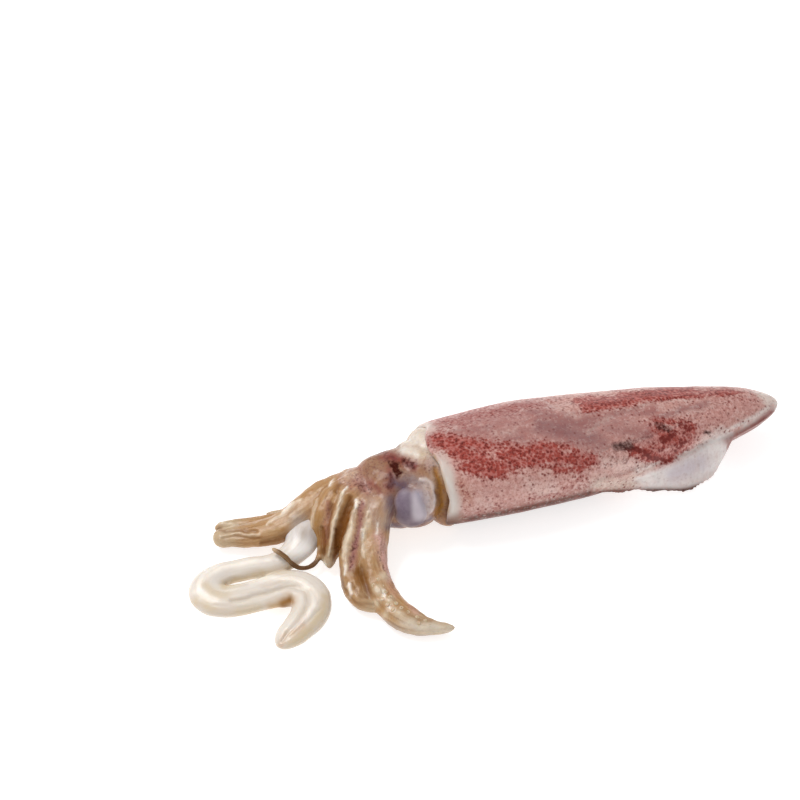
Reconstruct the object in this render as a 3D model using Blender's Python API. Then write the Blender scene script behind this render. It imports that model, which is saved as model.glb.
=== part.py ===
"""A whole raw squid lying on its belly, arms towards -X and tail tip towards +X.

The body is one soft piece: a mantle with its two fins, a head with two eyes and a funnel,
eight arms with suckers and two long tentacles. Every form starts as a ball whose poles lie
on one axis, is drawn out to its own shape, and all of them are joined into one closed skin.
The origin is on the table, under the middle of the mantle's flat belly. The near side is -Y.
"""
import math

import bmesh
import bpy
from mathutils import Vector

MM = 0.001

# Driving sizes of the mantle, in millimetres
MANTLE_LENGTH = 162.0
MANTLE_WIDTH = 54.0
MANTLE_HEIGHT = 38.0
MANTLE_CENTRE = 18.2
TAIL_CENTRE = 15.0
COLLAR_X = -82.0
COLLAR_WALL = 3.2
COLLAR_DEPTH = 9.0
COLLAR_LOBE = 5.0
COLLAR_NOTCH = 1.5
PEN_RIDGE = 1.0
BELLY_SAG = 0.9

# How the mantle's section shrinks along its length, from 0 at the collar to 1 at the tip
SWELL_POWER = 2.2
SWELL_ROUNDNESS = 0.65
TAIL_BLUNTNESS = 0.30
COLLAR_NARROWING = 0.13
COLLAR_NARROWING_END = 0.30
SECTION_SQUARENESS = 2.2
RING_BUNCHING = 1.5

# The fin hangs to the table: shares of the mantle's length where it starts, is widest,
# turns into a narrow strip and ends; how far its edge flares out; root and edge thickness
FIN_START, FIN_WIDEST, FIN_BREAK, FIN_END = 0.36, 0.68, 0.805, 0.985
FIN_FLARE_LEAST, FIN_FLARE_MOST, FIN_FLARE_LENGTH = -2.5, 8.8, 0.12
FIN_STRIP = 0.16
FIN_ROOT_DEPTH = 5.0
FIN_ROOT_THICKNESS, FIN_EDGE_THICKNESS = 4.0, 1.6

# Rounded masses of the head: centre and half sizes, in millimetres
HEAD_FORMS = {
    "head": ((-95, -0.5, 14.5), (21, 18, 14.5)),
    "neck": ((-84, 0, 16), (18, 18, 15)),
    "arm_crown": ((-110, 0, 13), (15, 13, 11)),
}
EYE_FORMS = {
    "near_eye": ((-93.5, -12.5, 14.5), (11, 9.5, 11)),
    "far_eye": ((-93.5, 10, 12), (11, 9.5, 10)),
}
FUNNEL_FORM = ((-90, 0, 4.5), (13, 7, 4.5))

# Facets of each kind of form: sides round it and rings along it
MANTLE_FACETS = (32, 36)
FIN_FACETS = (16, 24)
HEAD_FACETS = (20, 12)
EYE_FACETS = (16, 10)
FUNNEL_FACETS = (12, 8)
NEAR_ARM_FACETS, FAR_ARM_FACETS = (10, 20), (10, 18)
NEAR_TENTACLE_FACETS, FAR_TENTACLE_FACETS = (12, 50), (10, 30)
SUCKER_FACETS = (6, 4)

# Each arm: width and thickness at its base, the share of its length where it begins to
# taper, and the line that it follows from the head to its tip, in millimetres
ARMS = {
    "near_arm_4": (12.5, 9, 0.75, [
        (-96, -4, 17), (-106, -12, 18.5), (-113, -23, 12), (-117, -37, 6.5),
        (-115.5, -52, 4.4), (-109, -63, 4), (-97, -68.5, 3.4)]),
    "near_arm_3": (11.5, 9, 0.7, [
        (-100, -2, 17), (-114, -10, 17.5), (-121.5, -20, 12.5), (-126, -31, 6.5),
        (-127.5, -41, 4.4), (-124.5, -48.5, 4), (-116, -51.5, 3.6)]),
    "near_arm_2": (10, 9, 0.8, [
        (-103, 0, 18), (-117, -4, 18.5), (-126, -11.5, 13.5), (-131, -19.5, 6), (-133, -25, 3.5)]),
    "near_arm_1": (11, 8, 0.4, [
        (-105, 3, 18), (-121, 0, 18.5), (-130, -7, 14), (-134, -14, 7.5), (-138.5, -19.5, 5),
        (-144, -19.5, 6.5), (-148, -13, 8), (-151, -7, 7.5)]),
    "far_arm_1": (14, 9, 0.7, [
        (-106, 6, 16), (-124, 5, 15.5), (-136, 1, 12), (-146, -1, 8), (-157, 1, 5.6),
        (-166, 4.5, 4.6), (-172, 6, 3.8)]),
    "far_arm_2": (8.5, 7.5, 0.5, [
        (-104, 9, 12), (-120, 9, 8), (-132, 5, 5), (-144, 4, 3.8), (-154, 6, 3.2),
        (-162, 8, 2.2)]),
    "far_arm_3": (8.5, 7.5, 0.5, [
        (-103, 9, 11), (-112, 12, 7), (-121, 12, 4), (-131, 9, 3.8), (-141, 9, 3), (-149, 11, 2)]),
    "far_arm_4": (9, 7.5, 0.5, [
        (-100, 8, 9), (-108, 13, 5), (-117, 15, 4), (-127, 15, 3.6), (-135, 13, 2.6),
        (-140, 12, 2)]),
}
ARM_TIP = 0.28

# The two tentacles: widths along the stalk and the club, thickness, the shares of the
# length over which the stalk widens into the club, and the line of each
STALK_WIDTH, CLUB_WIDTH, TENTACLE_THICKNESS = 10.0, 15.0, 7.5
CLUB_START, CLUB_FULL = 0.42, 0.57
CLUB_GROOVE = 1.1
TENTACLES = {
    "near_tentacle": [
        (-108, 3, 11), (-127, 0, 11), (-137, -5.5, 10), (-144, -13, 6.5), (-152, -16.3, 4.4),
        (-164, -15.3, 4), (-174, -15.5, 4), (-180, -19.5, 4), (-180.5, -24.5, 4), (-177, -28.5, 4),
        (-170, -30.3, 4), (-162, -29.8, 4), (-156, -28, 4), (-150, -28, 4), (-145.5, -32, 4),
        (-144, -39, 4), (-147, -46, 4), (-152, -50.5, 3.8), (-157.5, -54, 3.4), (-162, -56.5, 3)],
    "far_tentacle": [
        (-108, 5, 10), (-112, 12, 6), (-107, 18, 4.2), (-96, 21, 4), (-84, 25, 4),
        (-72, 32, 4), (-58, 37, 4), (-44, 38, 4), (-30, 36, 4), (-16, 37, 4), (-4, 40, 3.5),
        (6, 41, 2.5)],
}

# Suckers in two rows along the inner edge of the arm whose inner edge shows
SUCKERED_ARM = "near_arm_4"
SUCKER_RADIUS = 1.1
SUCKER_SINK = 0.3
SUCKER_SPACING = 3.2
SUCKERS_FROM, SUCKERS_TO = 0.42, 0.93

# Clean-up of the joined skin, in metres
SAME_POINT = 0.0000001
SHORTEST_EDGE = 0.000003

SKIN_COLOUR = (0.62, 0.36, 0.31, 1.0)


def clear_scene():
    for obj in list(bpy.data.objects):
        bpy.data.objects.remove(obj, do_unlink=True)


def smooth(share):
    """Rises from 0 to 1 with no corner at either end."""
    share = min(max(share, 0.0), 1.0)
    return share * share * (3 - 2 * share)


def bell(offset, width):
    return math.exp(-(offset / width) ** 2)


def blend(start, end, share):
    return start + (end - start) * share


def drawn_ball(name, facets, place, collection):
    """A ball whose rings are moved to place(share, angle): share runs from one pole to the
    other and angle goes round, both as the point lies on the ball. Units are millimetres."""
    sides, rings = facets
    mesh = bpy.data.meshes.new(name)
    shape = bmesh.new()
    bmesh.ops.create_uvsphere(shape, u_segments=sides, v_segments=rings, radius=1.0)
    for vertex in shape.verts:
        share = math.acos(min(max(vertex.co.z, -1.0), 1.0)) / math.pi
        angle = math.atan2(vertex.co.y, vertex.co.x)
        vertex.co = Vector(place(share, angle)) * MM
    bmesh.ops.recalc_face_normals(shape, faces=shape.faces)
    shape.to_mesh(mesh)
    shape.free()
    obj = bpy.data.objects.new(name, mesh)
    collection.objects.link(obj)
    return obj


def ellipsoid_place(centre, half):
    """A rounded mass that is flat where it lies on the table."""
    def place(share, angle):
        ring = math.sin(math.pi * share)
        return (centre[0] + half[0] * math.cos(math.pi * share),
                centre[1] + half[1] * ring * math.cos(angle),
                max(0.0, centre[2] + half[2] * ring * math.sin(angle)))
    return place


def swell(along):
    """Size of the mantle's section as a share of its greatest, at a share of its length."""
    narrowing = COLLAR_NARROWING * max(0.0, 1 - along / COLLAR_NARROWING_END) ** 2
    blunt = TAIL_BLUNTNESS * along ** 8 * math.sqrt(1 - along)
    return (1 - along ** SWELL_POWER) ** SWELL_ROUNDNESS - narrowing + blunt


def mantle_point(along, angle, inset=0.0):
    """A point on the mantle's skin, or inset below it. The angle is 90 degrees on the back."""
    flat = 2 / SECTION_SQUARENESS
    across = math.copysign(abs(math.cos(angle)) ** flat, math.cos(angle))
    upward = math.copysign(abs(math.sin(angle)) ** flat, math.sin(angle))
    centre = blend(MANTLE_CENTRE, TAIL_CENTRE, along)
    half_width = MANTLE_WIDTH / 2 * swell(along)
    half_height = MANTLE_HEIGHT / 2 * swell(along)
    if upward < 0:
        sagged = max(half_height, centre + BELLY_SAG)
        half_height = blend(sagged, half_height, smooth((along - 0.55) / 0.25))
    from_back = angle - math.pi / 2
    from_belly = angle + math.pi / 2
    near_collar = max(0.0, 1 - along / 0.12)
    x = COLLAR_X + along * MANTLE_LENGTH
    x -= COLLAR_LOBE * near_collar * bell(from_back, 0.45)
    x += COLLAR_NOTCH * near_collar * bell(from_belly, 0.6)
    ridge = PEN_RIDGE * swell(along) * bell(from_back, 0.18)
    z = centre + (half_height - inset) * upward + ridge
    return x, (half_width - inset) * across, max(z, inset)


def mantle_place(share, angle):
    """The ball's first rings become the hollow inside the collar, and the rest the skin."""
    hollow, rim = 0.12, 0.2
    if share < hollow:
        x, y, z = mantle_point(0.0, angle, COLLAR_WALL)
        inward = share / hollow
        return x + COLLAR_DEPTH, y * inward, blend(MANTLE_CENTRE, z, inward)
    if share < rim:
        turn = (share - hollow) / (rim - hollow)
        x, y, z = mantle_point(0.0, angle, COLLAR_WALL * (1 - smooth(turn)))
        return x + COLLAR_DEPTH * (1 - turn) ** 2, y, z
    along = (share - rim) / (1 - rim)
    return mantle_point(1 - (1 - along) ** RING_BUNCHING, angle)


def fin_reach(along):
    """How much of the way from the mantle's side down to the table the fin covers."""
    if along < FIN_WIDEST:
        rise = (along - FIN_START) / (FIN_WIDEST - FIN_START)
        return math.sin(math.pi / 2 * rise) ** 0.6
    fall = min(1.0, (along - FIN_WIDEST) / (FIN_BREAK - FIN_WIDEST))
    strip = FIN_STRIP * math.sqrt(min(1.0, (FIN_END - along) / (FIN_END - FIN_BREAK)))
    return blend(strip, 1.0, math.sqrt(1 - fall ** 3))


def fin_place(side):
    """The fin grows out of the mantle's side, hangs, and lies on the table by its edge."""
    def place(share, angle):
        along = blend(FIN_START, FIN_END, share)
        outward = (1 - math.cos(angle)) / 2
        thickness = blend(FIN_ROOT_THICKNESS, FIN_EDGE_THICKNESS, outward)
        thickness *= math.sqrt(math.sin(math.pi * share))
        x, side_y, side_z = mantle_point(along, 0.0)
        reach = 1.4 * outward - 0.4
        fall = max(0.0, reach) * fin_reach(along)
        flare = blend(FIN_FLARE_LEAST, FIN_FLARE_MOST, bell(along - FIN_WIDEST, FIN_FLARE_LENGTH))
        free = smooth(reach * 4 + 0.6)
        lean = math.atan2(side_z, max(1.0, abs(flare)))
        y = side_y + flare * fall + min(0.0, reach) * 2 * FIN_ROOT_DEPTH
        z = blend(side_z, FIN_EDGE_THICKNESS / 2, fall ** 1.15)
        y += math.sin(angle) * thickness / 2 * math.sin(lean) * free
        z += math.sin(angle) * thickness / 2 * (1 - 0.6 * free)
        return x, side * y, max(z, 0.0)
    return place


def arm_place(width, thickness, taper_start, length):
    """A straight arm along +X, drawn out to a point."""
    def place(share, angle):
        size = min(1.0, math.sqrt(share / 0.03))
        size *= blend(1.0, ARM_TIP, smooth((share - taper_start) / (1 - taper_start)))
        size *= math.sqrt(max(0.0, 1 - max(0.0, (share - 0.93) / 0.07) ** 2))
        return (length * share,
                width / 2 * size * math.cos(angle),
                thickness / 2 * size * math.sin(angle))
    return place


def tentacle_place(length):
    """A straight tentacle along +X: a thin stalk, then a broad club with a long groove."""
    def place(share, angle):
        club = smooth((share - CLUB_START) / (CLUB_FULL - CLUB_START))
        width = blend(STALK_WIDTH, CLUB_WIDTH, club)
        size = min(1.0, math.sqrt(share / 0.02))
        size *= 1 - 0.62 * smooth((share - 0.86) / 0.14)
        size *= math.sqrt(max(0.0, 1 - max(0.0, (share - 0.95) / 0.05) ** 2))
        z = TENTACLE_THICKNESS / 2 * math.sin(angle)
        if z > 0:
            z -= CLUB_GROOVE * club * bell(math.cos(angle) - 0.15, 0.25)
        return length * share, width / 2 * size * math.cos(angle), z * size
    return place


def route_length(points):
    return sum((Vector(b) - Vector(a)).length for a, b in zip(points, points[1:]))


def route_curve(name, points, guides):
    """A smooth guide line through the points, which stretches what is bent along it."""
    data = bpy.data.curves.new(name, "CURVE")
    data.dimensions = "3D"
    data.twist_mode = "Z_UP"
    data.resolution_u = 16
    data.use_stretch = True
    data.use_deform_bounds = True
    spline = data.splines.new("BEZIER")
    spline.bezier_points.add(len(points) - 1)
    for knot, point in zip(spline.bezier_points, points):
        knot.co = Vector(point) * MM
        knot.handle_left_type = knot.handle_right_type = "AUTO"
    curve = bpy.data.objects.new(name, data)
    curve.hide_render = True
    curve.display_type = "WIRE"
    guides.objects.link(curve)
    return curve


def bend_along(obj, route):
    """Bends a straight form that lies along +X to its guide line, and rests it on the table."""
    bend = obj.modifiers.new("bend", "CURVE")
    bend.object = route
    bend.deform_axis = "POS_X"
    bpy.context.view_layer.update()
    graph = bpy.context.evaluated_depsgraph_get()
    bent = bpy.data.meshes.new_from_object(obj.evaluated_get(graph))
    obj.modifiers.remove(bend)
    obj.data = bent
    for vertex in bent.vertices:
        vertex.co.z = max(vertex.co.z, 0.0)


def points_along(route, spacing):
    """Points on a guide line at even steps, each with its share of the length and its way."""
    bpy.context.view_layer.update()
    graph = bpy.context.evaluated_depsgraph_get()
    line = [vertex.co.copy() for vertex in route.evaluated_get(graph).to_mesh().vertices]
    steps = [(b - a).length for a, b in zip(line, line[1:])]
    total, gone, found = sum(steps), 0.0, []
    for start, end, step in zip(line, line[1:], steps):
        while len(found) * spacing <= gone + step:
            part = (len(found) * spacing - gone) / step
            found.append((start.lerp(end, part), len(found) * spacing / total, (end - start) / step))
        gone += step
    return found


def add_suckers(name, route, collection):
    """Two rows of round suckers that stand half out of an arm's inner edge."""
    width, thickness, taper_start, _ = ARMS[name]
    for index, (point, share, way) in enumerate(points_along(route, SUCKER_SPACING * MM)):
        if not SUCKERS_FROM < share < SUCKERS_TO:
            continue
        size = blend(1.0, ARM_TIP, smooth((share - taper_start) / (1 - taper_start)))
        radius = SUCKER_RADIUS * blend(0.6, 1.0, size)
        across = Vector((way.y, -way.x, 0.0)).normalized()
        for row, turn in enumerate((25, -15)):
            stagger = way * (row * 0.5 * SUCKER_SPACING * MM)
            lift = math.sin(math.radians(turn)) * thickness / 2 * size
            out = math.cos(math.radians(turn)) * width / 2 * size - SUCKER_SINK
            seat = (point + stagger + across * (out * MM)) / MM + Vector((0, 0, lift))
            half = (radius, radius, radius)
            ball = ellipsoid_place(seat, half)
            drawn_ball(f"{name}_sucker_{index}_{row}", SUCKER_FACETS, ball, collection)


def join_forms(squid, forms):
    """Unites the mantle with every other form, and keeps the result as plain mesh."""
    union = squid.modifiers.new("join", "BOOLEAN")
    union.operation = "UNION"
    union.solver = "EXACT"
    union.operand_type = "COLLECTION"
    union.collection = forms
    bpy.context.view_layer.update()
    graph = bpy.context.evaluated_depsgraph_get()
    joined = bpy.data.meshes.new_from_object(squid.evaluated_get(graph))
    squid.modifiers.remove(union)
    squid.data = joined
    for obj in list(forms.objects):
        bpy.data.objects.remove(obj, do_unlink=True)
    bpy.data.collections.remove(forms)


def keep_outer_skin(obj):
    """Drops the skins of any hollows that the union sealed, and any loose scrap."""
    shape = bmesh.new()
    shape.from_mesh(obj.data)
    bmesh.ops.remove_doubles(shape, verts=shape.verts, dist=SAME_POINT)
    bmesh.ops.dissolve_degenerate(shape, edges=shape.edges, dist=SHORTEST_EDGE)
    bmesh.ops.triangulate(shape, faces=shape.faces)
    left = set(shape.faces)
    skins = []
    while left:
        skin, open_faces = set(), [left.pop()]
        while open_faces:
            face = open_faces.pop()
            skin.add(face)
            for edge in face.edges:
                for other in edge.link_faces:
                    if other in left:
                        left.remove(other)
                        open_faces.append(other)
        skins.append(skin)
    skins.sort(key=len, reverse=True)
    scrap = [face for skin in skins[1:] for face in skin]
    bmesh.ops.delete(shape, geom=scrap, context="FACES")
    shape.to_mesh(obj.data)
    shape.free()


def skin_material():
    material = bpy.data.materials.new("squid_flesh")
    material.use_nodes = True
    shader = material.node_tree.nodes["Principled BSDF"]
    shader.inputs["Base Color"].default_value = SKIN_COLOUR
    shader.inputs["Roughness"].default_value = 0.28
    shader.inputs["Metallic"].default_value = 0.0
    return material


clear_scene()
squid_parts = bpy.data.collections.new("patagonian_squid")
forms = bpy.data.collections.new("joined_forms")
guides = bpy.data.collections.new("guides")
for collection in (squid_parts, forms, guides):
    bpy.context.scene.collection.children.link(collection)

# Mantle with its open collar, and the two fins
squid = drawn_ball("squid", MANTLE_FACETS, mantle_place, squid_parts)
drawn_ball("near_fin", FIN_FACETS, fin_place(-1), forms)
drawn_ball("far_fin", FIN_FACETS, fin_place(1), forms)

# Head, eyes and funnel
for name, (centre, half) in HEAD_FORMS.items():
    drawn_ball(name, HEAD_FACETS, ellipsoid_place(centre, half), forms)
for name, (centre, half) in EYE_FORMS.items():
    drawn_ball(name, EYE_FACETS, ellipsoid_place(centre, half), forms)
drawn_ball("funnel", FUNNEL_FACETS, ellipsoid_place(*FUNNEL_FORM), forms)

# Arms with their suckers, and the tentacles, each bent along its own line
for name, (width, thickness, taper_start, points) in ARMS.items():
    route = route_curve(name + "_line", points, guides)
    straight = arm_place(width, thickness, taper_start, route_length(points))
    facets = NEAR_ARM_FACETS if name.startswith("near") else FAR_ARM_FACETS
    bend_along(drawn_ball(name, facets, straight, forms), route)
    if name == SUCKERED_ARM:
        add_suckers(name, route, forms)
for name, points in TENTACLES.items():
    route = route_curve(name + "_line", points, guides)
    straight = tentacle_place(route_length(points))
    facets = NEAR_TENTACLE_FACETS if name.startswith("near") else FAR_TENTACLE_FACETS
    bend_along(drawn_ball(name, facets, straight, forms), route)

# One closed skin
join_forms(squid, forms)
keep_outer_skin(squid)
squid.data.materials.clear()
squid.data.materials.append(skin_material())
squid.data.shade_smooth()
squid.data.set_sharp_from_angle(angle=math.radians(45))
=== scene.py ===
import math

import bpy
import numpy as np
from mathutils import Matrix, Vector, kdtree, noise


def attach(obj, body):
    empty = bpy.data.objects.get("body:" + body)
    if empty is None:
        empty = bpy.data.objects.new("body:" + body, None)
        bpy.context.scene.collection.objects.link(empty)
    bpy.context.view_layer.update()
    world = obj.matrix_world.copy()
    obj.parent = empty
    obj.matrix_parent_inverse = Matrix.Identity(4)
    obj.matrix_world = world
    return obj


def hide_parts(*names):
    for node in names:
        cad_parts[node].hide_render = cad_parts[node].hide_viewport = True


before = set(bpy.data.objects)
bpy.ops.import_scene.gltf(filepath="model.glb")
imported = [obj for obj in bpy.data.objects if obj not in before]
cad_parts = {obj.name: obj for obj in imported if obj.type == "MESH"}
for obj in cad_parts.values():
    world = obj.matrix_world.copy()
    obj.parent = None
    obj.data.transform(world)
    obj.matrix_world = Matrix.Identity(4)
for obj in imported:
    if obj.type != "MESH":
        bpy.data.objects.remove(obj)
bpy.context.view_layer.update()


# Camera
# It stands on the squid's near side and looks down past its arms. It comes first, because
# strokes of colour and soft creases are drawn where the picture, 800 pixels wide, shows them.

MM = 0.001
PICTURE, LENS, SENSOR = 800, 56.25, 36.0
# The place in metres, and the turn and lift in degrees
CAMERA_PLACE, CAMERA_TURN, CAMERA_LIFT = (-0.216, -0.360, 0.356), -18.5, 38.0

turn, lift = math.radians(CAMERA_TURN), math.radians(CAMERA_LIFT)
look = Vector((-math.sin(turn) * math.cos(lift), math.cos(turn) * math.cos(lift), -math.sin(lift)))
right = look.cross(Vector((0, 0, 1))).normalized()
above = right.cross(look)
camera_data = bpy.data.cameras.new("camera")
camera_data.lens, camera_data.sensor_width = LENS, SENSOR
camera = bpy.data.objects.new("camera", camera_data)
camera.location = CAMERA_PLACE
camera.rotation_euler = look.to_track_quat("-Z", "Y").to_euler()
bpy.context.scene.collection.objects.link(camera)
bpy.context.scene.camera = camera


def seen_at(points):
    """The pixels at which the camera sees points that are given in millimetres."""
    offset = points * MM - np.array(CAMERA_PLACE)
    scale = PICTURE * LENS / SENSOR / (offset @ np.array(look))
    pixels = np.column_stack([offset @ np.array(right), -(offset @ np.array(above))])
    return PICTURE / 2 + pixels * scale[:, None]


# Mantle and fins
# The mantle is the squid's body: a tapered tube of muscle 162 mm long under a thin wet skin
# full of pigment cells. It is open at the collar, lies on its belly and ends in a blunt tip.
# Two fins grow out of its sides as one flesh with it and hang down to the table.

# Sizes are in millimetres, places along the mantle are shares of its length, and angles round
# it are in radians. Forms are drawn a little large, because smoothing draws them in.
MANTLE_LENGTH, MANTLE_WIDTH, MANTLE_HEIGHT = 163.2, 54.2, 38.1
MANTLE_CENTRE, TAIL_CENTRE = 18.2, 15.0
SECTION_SQUARENESS = 2.2
SWELL_POWER, SWELL_ROUNDNESS, TAIL_BLUNTNESS = 2.2, 0.65, 0.36
PEN_RIDGE, PEN_RIDGE_SPREAD = 1.0, 0.18
BELLY_SAG, BELLY_SAG_END, BELLY_SAG_FADE = 0.9, 0.55, 0.25
FLANK_SAG, FLANK_SAG_AT, FLANK_SAG_LENGTH = 0.7, 0.36, 0.22
COLLAR_X, COLLAR_WALL, COLLAR_DEPTH = -83.0, 2.4, 13.0
COLLAR_NARROWING, COLLAR_NARROWING_END = 0.13, 0.30
COLLAR_EDGE_END, COLLAR_RIPPLE, COLLAR_FINE_RIPPLE = 0.12, 0.4, 0.15
COLLAR_LOBE, COLLAR_LOBE_SPREAD = 1.6, 0.45
COLLAR_NOTCH, COLLAR_NOTCH_SPREAD = 1.5, 0.6
COLLAR_SLANT, COLLAR_SLANT_AT, COLLAR_SLANT_SPREAD = 3.2, 0.9, 0.5
FIN_START, FIN_WIDEST, FIN_BREAK, FIN_END = 0.36, 0.68, 0.805, 0.985
FIN_FLARE_LEAST, FIN_FLARE_MOST, FIN_FLARE_LENGTH = -1.2, 7.2, 0.12
FIN_WAVE, FIN_WAVE_RATE = 0.5, 70
FIN_STRIP, FIN_ROOT_DEPTH, FIN_ROOT_SHARE = 0.16, 5.0, 0.4
FIN_ROOT_THICKNESS, FIN_EDGE_THICKNESS = 4.0, 1.9
MANTLE_VOXEL, MANTLE_SMOOTHING = 0.62, 5


def smooth(share):
    """Rises from 0 to 1 with no corner at either end."""
    share = np.clip(share, 0.0, 1.0)
    return share * share * (3 - 2 * share)


def bell(offset, width):
    """1 in the middle, and nearly 0 at twice the width on both sides."""
    return np.exp(-(offset / width) ** 2)


def blend(start, end, share):
    """The value at a share of the way from start to end."""
    return start + (end - start) * share


def points_of(piece):
    """The piece's points in millimetres, one row each."""
    flat = np.empty(len(piece.data.vertices) * 3)
    piece.data.vertices.foreach_get("co", flat)
    return flat.reshape(-1, 3) / MM


def move_points(piece, points):
    """Moves the piece's points, and keeps them from sinking into the table."""
    points[:, 2] = np.maximum(points[:, 2], 0.0)
    piece.data.vertices.foreach_set("co", (points * MM).ravel())
    piece.data.update()


def normals_of(piece):
    """The directions in which the piece's skin faces, one row for each point."""
    flat = np.empty(len(piece.data.vertices) * 3)
    piece.data.vertex_normals.foreach_get("vector", flat)
    return flat.reshape(-1, 3)


def select_only(*pieces):
    bpy.ops.object.select_all(action="DESELECT")
    for piece in pieces:
        piece.select_set(True)
    bpy.context.view_layer.objects.active = pieces[0]


def drawn_ball(name, sides, rings, place):
    """A ball drawn out to its own shape. place(share, angle) takes each point's share of the
    way from pole to pole and its angle round them, and gives its place in millimetres."""
    bpy.ops.object.select_all(action="DESELECT")
    bpy.ops.mesh.primitive_uv_sphere_add(segments=sides, ring_count=rings, radius=1.0)
    piece = bpy.context.object
    piece.name = piece.data.name = name
    ball = points_of(piece) * MM
    share = np.arccos(np.clip(ball[:, 2], -1.0, 1.0)) / math.pi
    angle = np.arctan2(ball[:, 1], ball[:, 0])
    piece.data.vertices.foreach_set("co", (np.stack(place(share, angle), axis=1) * MM).ravel())
    bpy.ops.object.mode_set(mode="EDIT")
    bpy.ops.mesh.select_all(action="SELECT")
    bpy.ops.mesh.normals_make_consistent(inside=False)
    bpy.ops.object.mode_set(mode="OBJECT")
    return piece


def apply_modifier(piece, kind, **settings):
    """Shapes the piece with one modifier, which doesn't stay on it."""
    modifier = piece.modifiers.new(kind.lower(), kind)
    for name, value in settings.items():
        setattr(modifier, name, value)
    select_only(piece)
    bpy.ops.object.modifier_apply(modifier=modifier.name)


def grown_together(name, forms, voxel, rounds):
    """Joins overlapping forms into one closed skin with soft creases between them."""
    select_only(*forms)
    bpy.ops.object.join()
    piece = bpy.context.view_layer.objects.active
    piece.name = piece.data.name = name
    apply_modifier(piece, "REMESH", mode="VOXEL", voxel_size=voxel * MM, use_smooth_shade=True)
    apply_modifier(piece, "SMOOTH", factor=0.5, iterations=rounds)
    return piece


def lumps(points, *layers):
    """Soft uneven swellings. Each layer is its height, its size in millimetres and a shift
    that gives it a pattern of its own."""
    total = 0.0
    for height, size, shift in layers:
        offset = Vector((shift, 2 * shift, 3 * shift))
        swellings = [noise.noise(Vector(point) / size + offset) for point in points]
        total = total + height * np.array(swellings)
    return total


def from_line(places, line):
    """Each place's distance from a rounded line, and the share along it."""
    corners = np.array(line if len(line) > 1 else line * 2, float)
    for _ in range(2):
        cuts = [0.75 * corners[:-1] + 0.25 * corners[1:], 0.25 * corners[:-1] + 0.75 * corners[1:]]
        inner = np.stack(cuts, axis=1).reshape(-1, corners.shape[1])
        corners = np.concatenate([corners[:1], inner, corners[-1:]])
    nearest, share = np.full(len(places), 1e9), np.zeros(len(places))
    for index, (start, end) in enumerate(zip(corners, corners[1:])):
        way = end - start
        part = np.clip((places - start) @ way / max(way @ way, 1e-9), 0.0, 1.0)
        away = np.linalg.norm(places - start - part[:, None] * way, axis=1)
        closer = away < nearest
        nearest[closer], share[closer] = away[closer], (index + part[closer]) / (len(corners) - 1)
    return nearest, share


def pencil_for(piece, wobble=1.0):
    """Gives draw(strokes), which draws soft strokes on what faces the camera. Each stroke is
    a half width in pixels, a strength and the pixels of the picture that it runs through."""
    points = points_of(piece)
    pixels = seen_at(points)
    for axis in (0, 1):
        pixels[:, axis] += wobble * lumps(points, (2.2, 6.0, axis + 1), (1.3, 2.0, axis + 7))
    toward = np.array(CAMERA_PLACE) / MM - points
    facing = (normals_of(piece) * toward).sum(axis=1) / np.linalg.norm(toward, axis=1)

    def draw(strokes, taper=0.0, sharpness=2.0, past_edge=0.0):
        mask = np.zeros(len(points))
        for width, strength, line in strokes:
            low, high = np.min(line, axis=0) - 2.5 * width, np.max(line, axis=0) + 2.5 * width
            close = np.all((pixels > low) & (pixels < high), axis=1)
            away, share = from_line(pixels[close], line)
            slimmed = width * (1 - taper * (2 * share - 1) ** 2)
            faded = strength * (1 - (taper > 0) * (2 * share - 1) ** 8)
            mask[close] = np.maximum(mask[close], faded * np.exp(-(away / slimmed) ** sharpness))
        return mask * smooth((facing + past_edge) / 0.22)
    return draw


def swell(along):
    """Size of the mantle's section as a share of its greatest, at a share of its length."""
    along = np.clip(along, 0.0, 1.0)
    narrowing = COLLAR_NARROWING * np.maximum(0.0, 1 - along / COLLAR_NARROWING_END) ** 2
    blunt = TAIL_BLUNTNESS * along ** 8 * np.sqrt(1 - along)
    return (1 - along ** SWELL_POWER) ** SWELL_ROUNDNESS - narrowing + blunt


def mantle_point(along, angle, inset=0.0):
    """Points on the mantle's skin, or inset below it. The angle is 90 degrees on the back."""
    flat = 2 / SECTION_SQUARENESS
    across = np.sign(np.cos(angle)) * np.abs(np.cos(angle)) ** flat
    upward = np.sign(np.sin(angle)) * np.abs(np.sin(angle)) ** flat
    centre = blend(MANTLE_CENTRE, TAIL_CENTRE, along)
    half_width = MANTLE_WIDTH / 2 * swell(along)
    low_flank = smooth((0.15 - upward) / 0.6)
    half_width = half_width + FLANK_SAG * bell(along - FLANK_SAG_AT, FLANK_SAG_LENGTH) * low_flank
    half_height = MANTLE_HEIGHT / 2 * swell(along)
    sagged = np.maximum(half_height, centre + BELLY_SAG)
    belly = blend(sagged, half_height, smooth((along - BELLY_SAG_END) / BELLY_SAG_FADE))
    half_height = np.where(upward < 0, belly, half_height)
    near_collar = np.maximum(0.0, 1 - along / COLLAR_EDGE_END)
    x = COLLAR_X + along * MANTLE_LENGTH
    x = x - COLLAR_LOBE * near_collar * bell(angle - math.pi / 2, COLLAR_LOBE_SPREAD)
    x = x + COLLAR_NOTCH * near_collar * bell(angle + math.pi / 2, COLLAR_NOTCH_SPREAD)
    x = x + COLLAR_SLANT * near_collar * bell(angle - COLLAR_SLANT_AT, COLLAR_SLANT_SPREAD)
    x = x + COLLAR_RIPPLE * near_collar * np.sin(7 * angle)
    x = x + COLLAR_FINE_RIPPLE * near_collar * np.sin(13 * angle + 1)
    ridge = PEN_RIDGE * swell(along) * bell(angle - math.pi / 2, PEN_RIDGE_SPREAD)
    z = centre + (half_height - inset) * upward + ridge
    return x, (half_width - inset) * across, np.maximum(z, inset)


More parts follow.
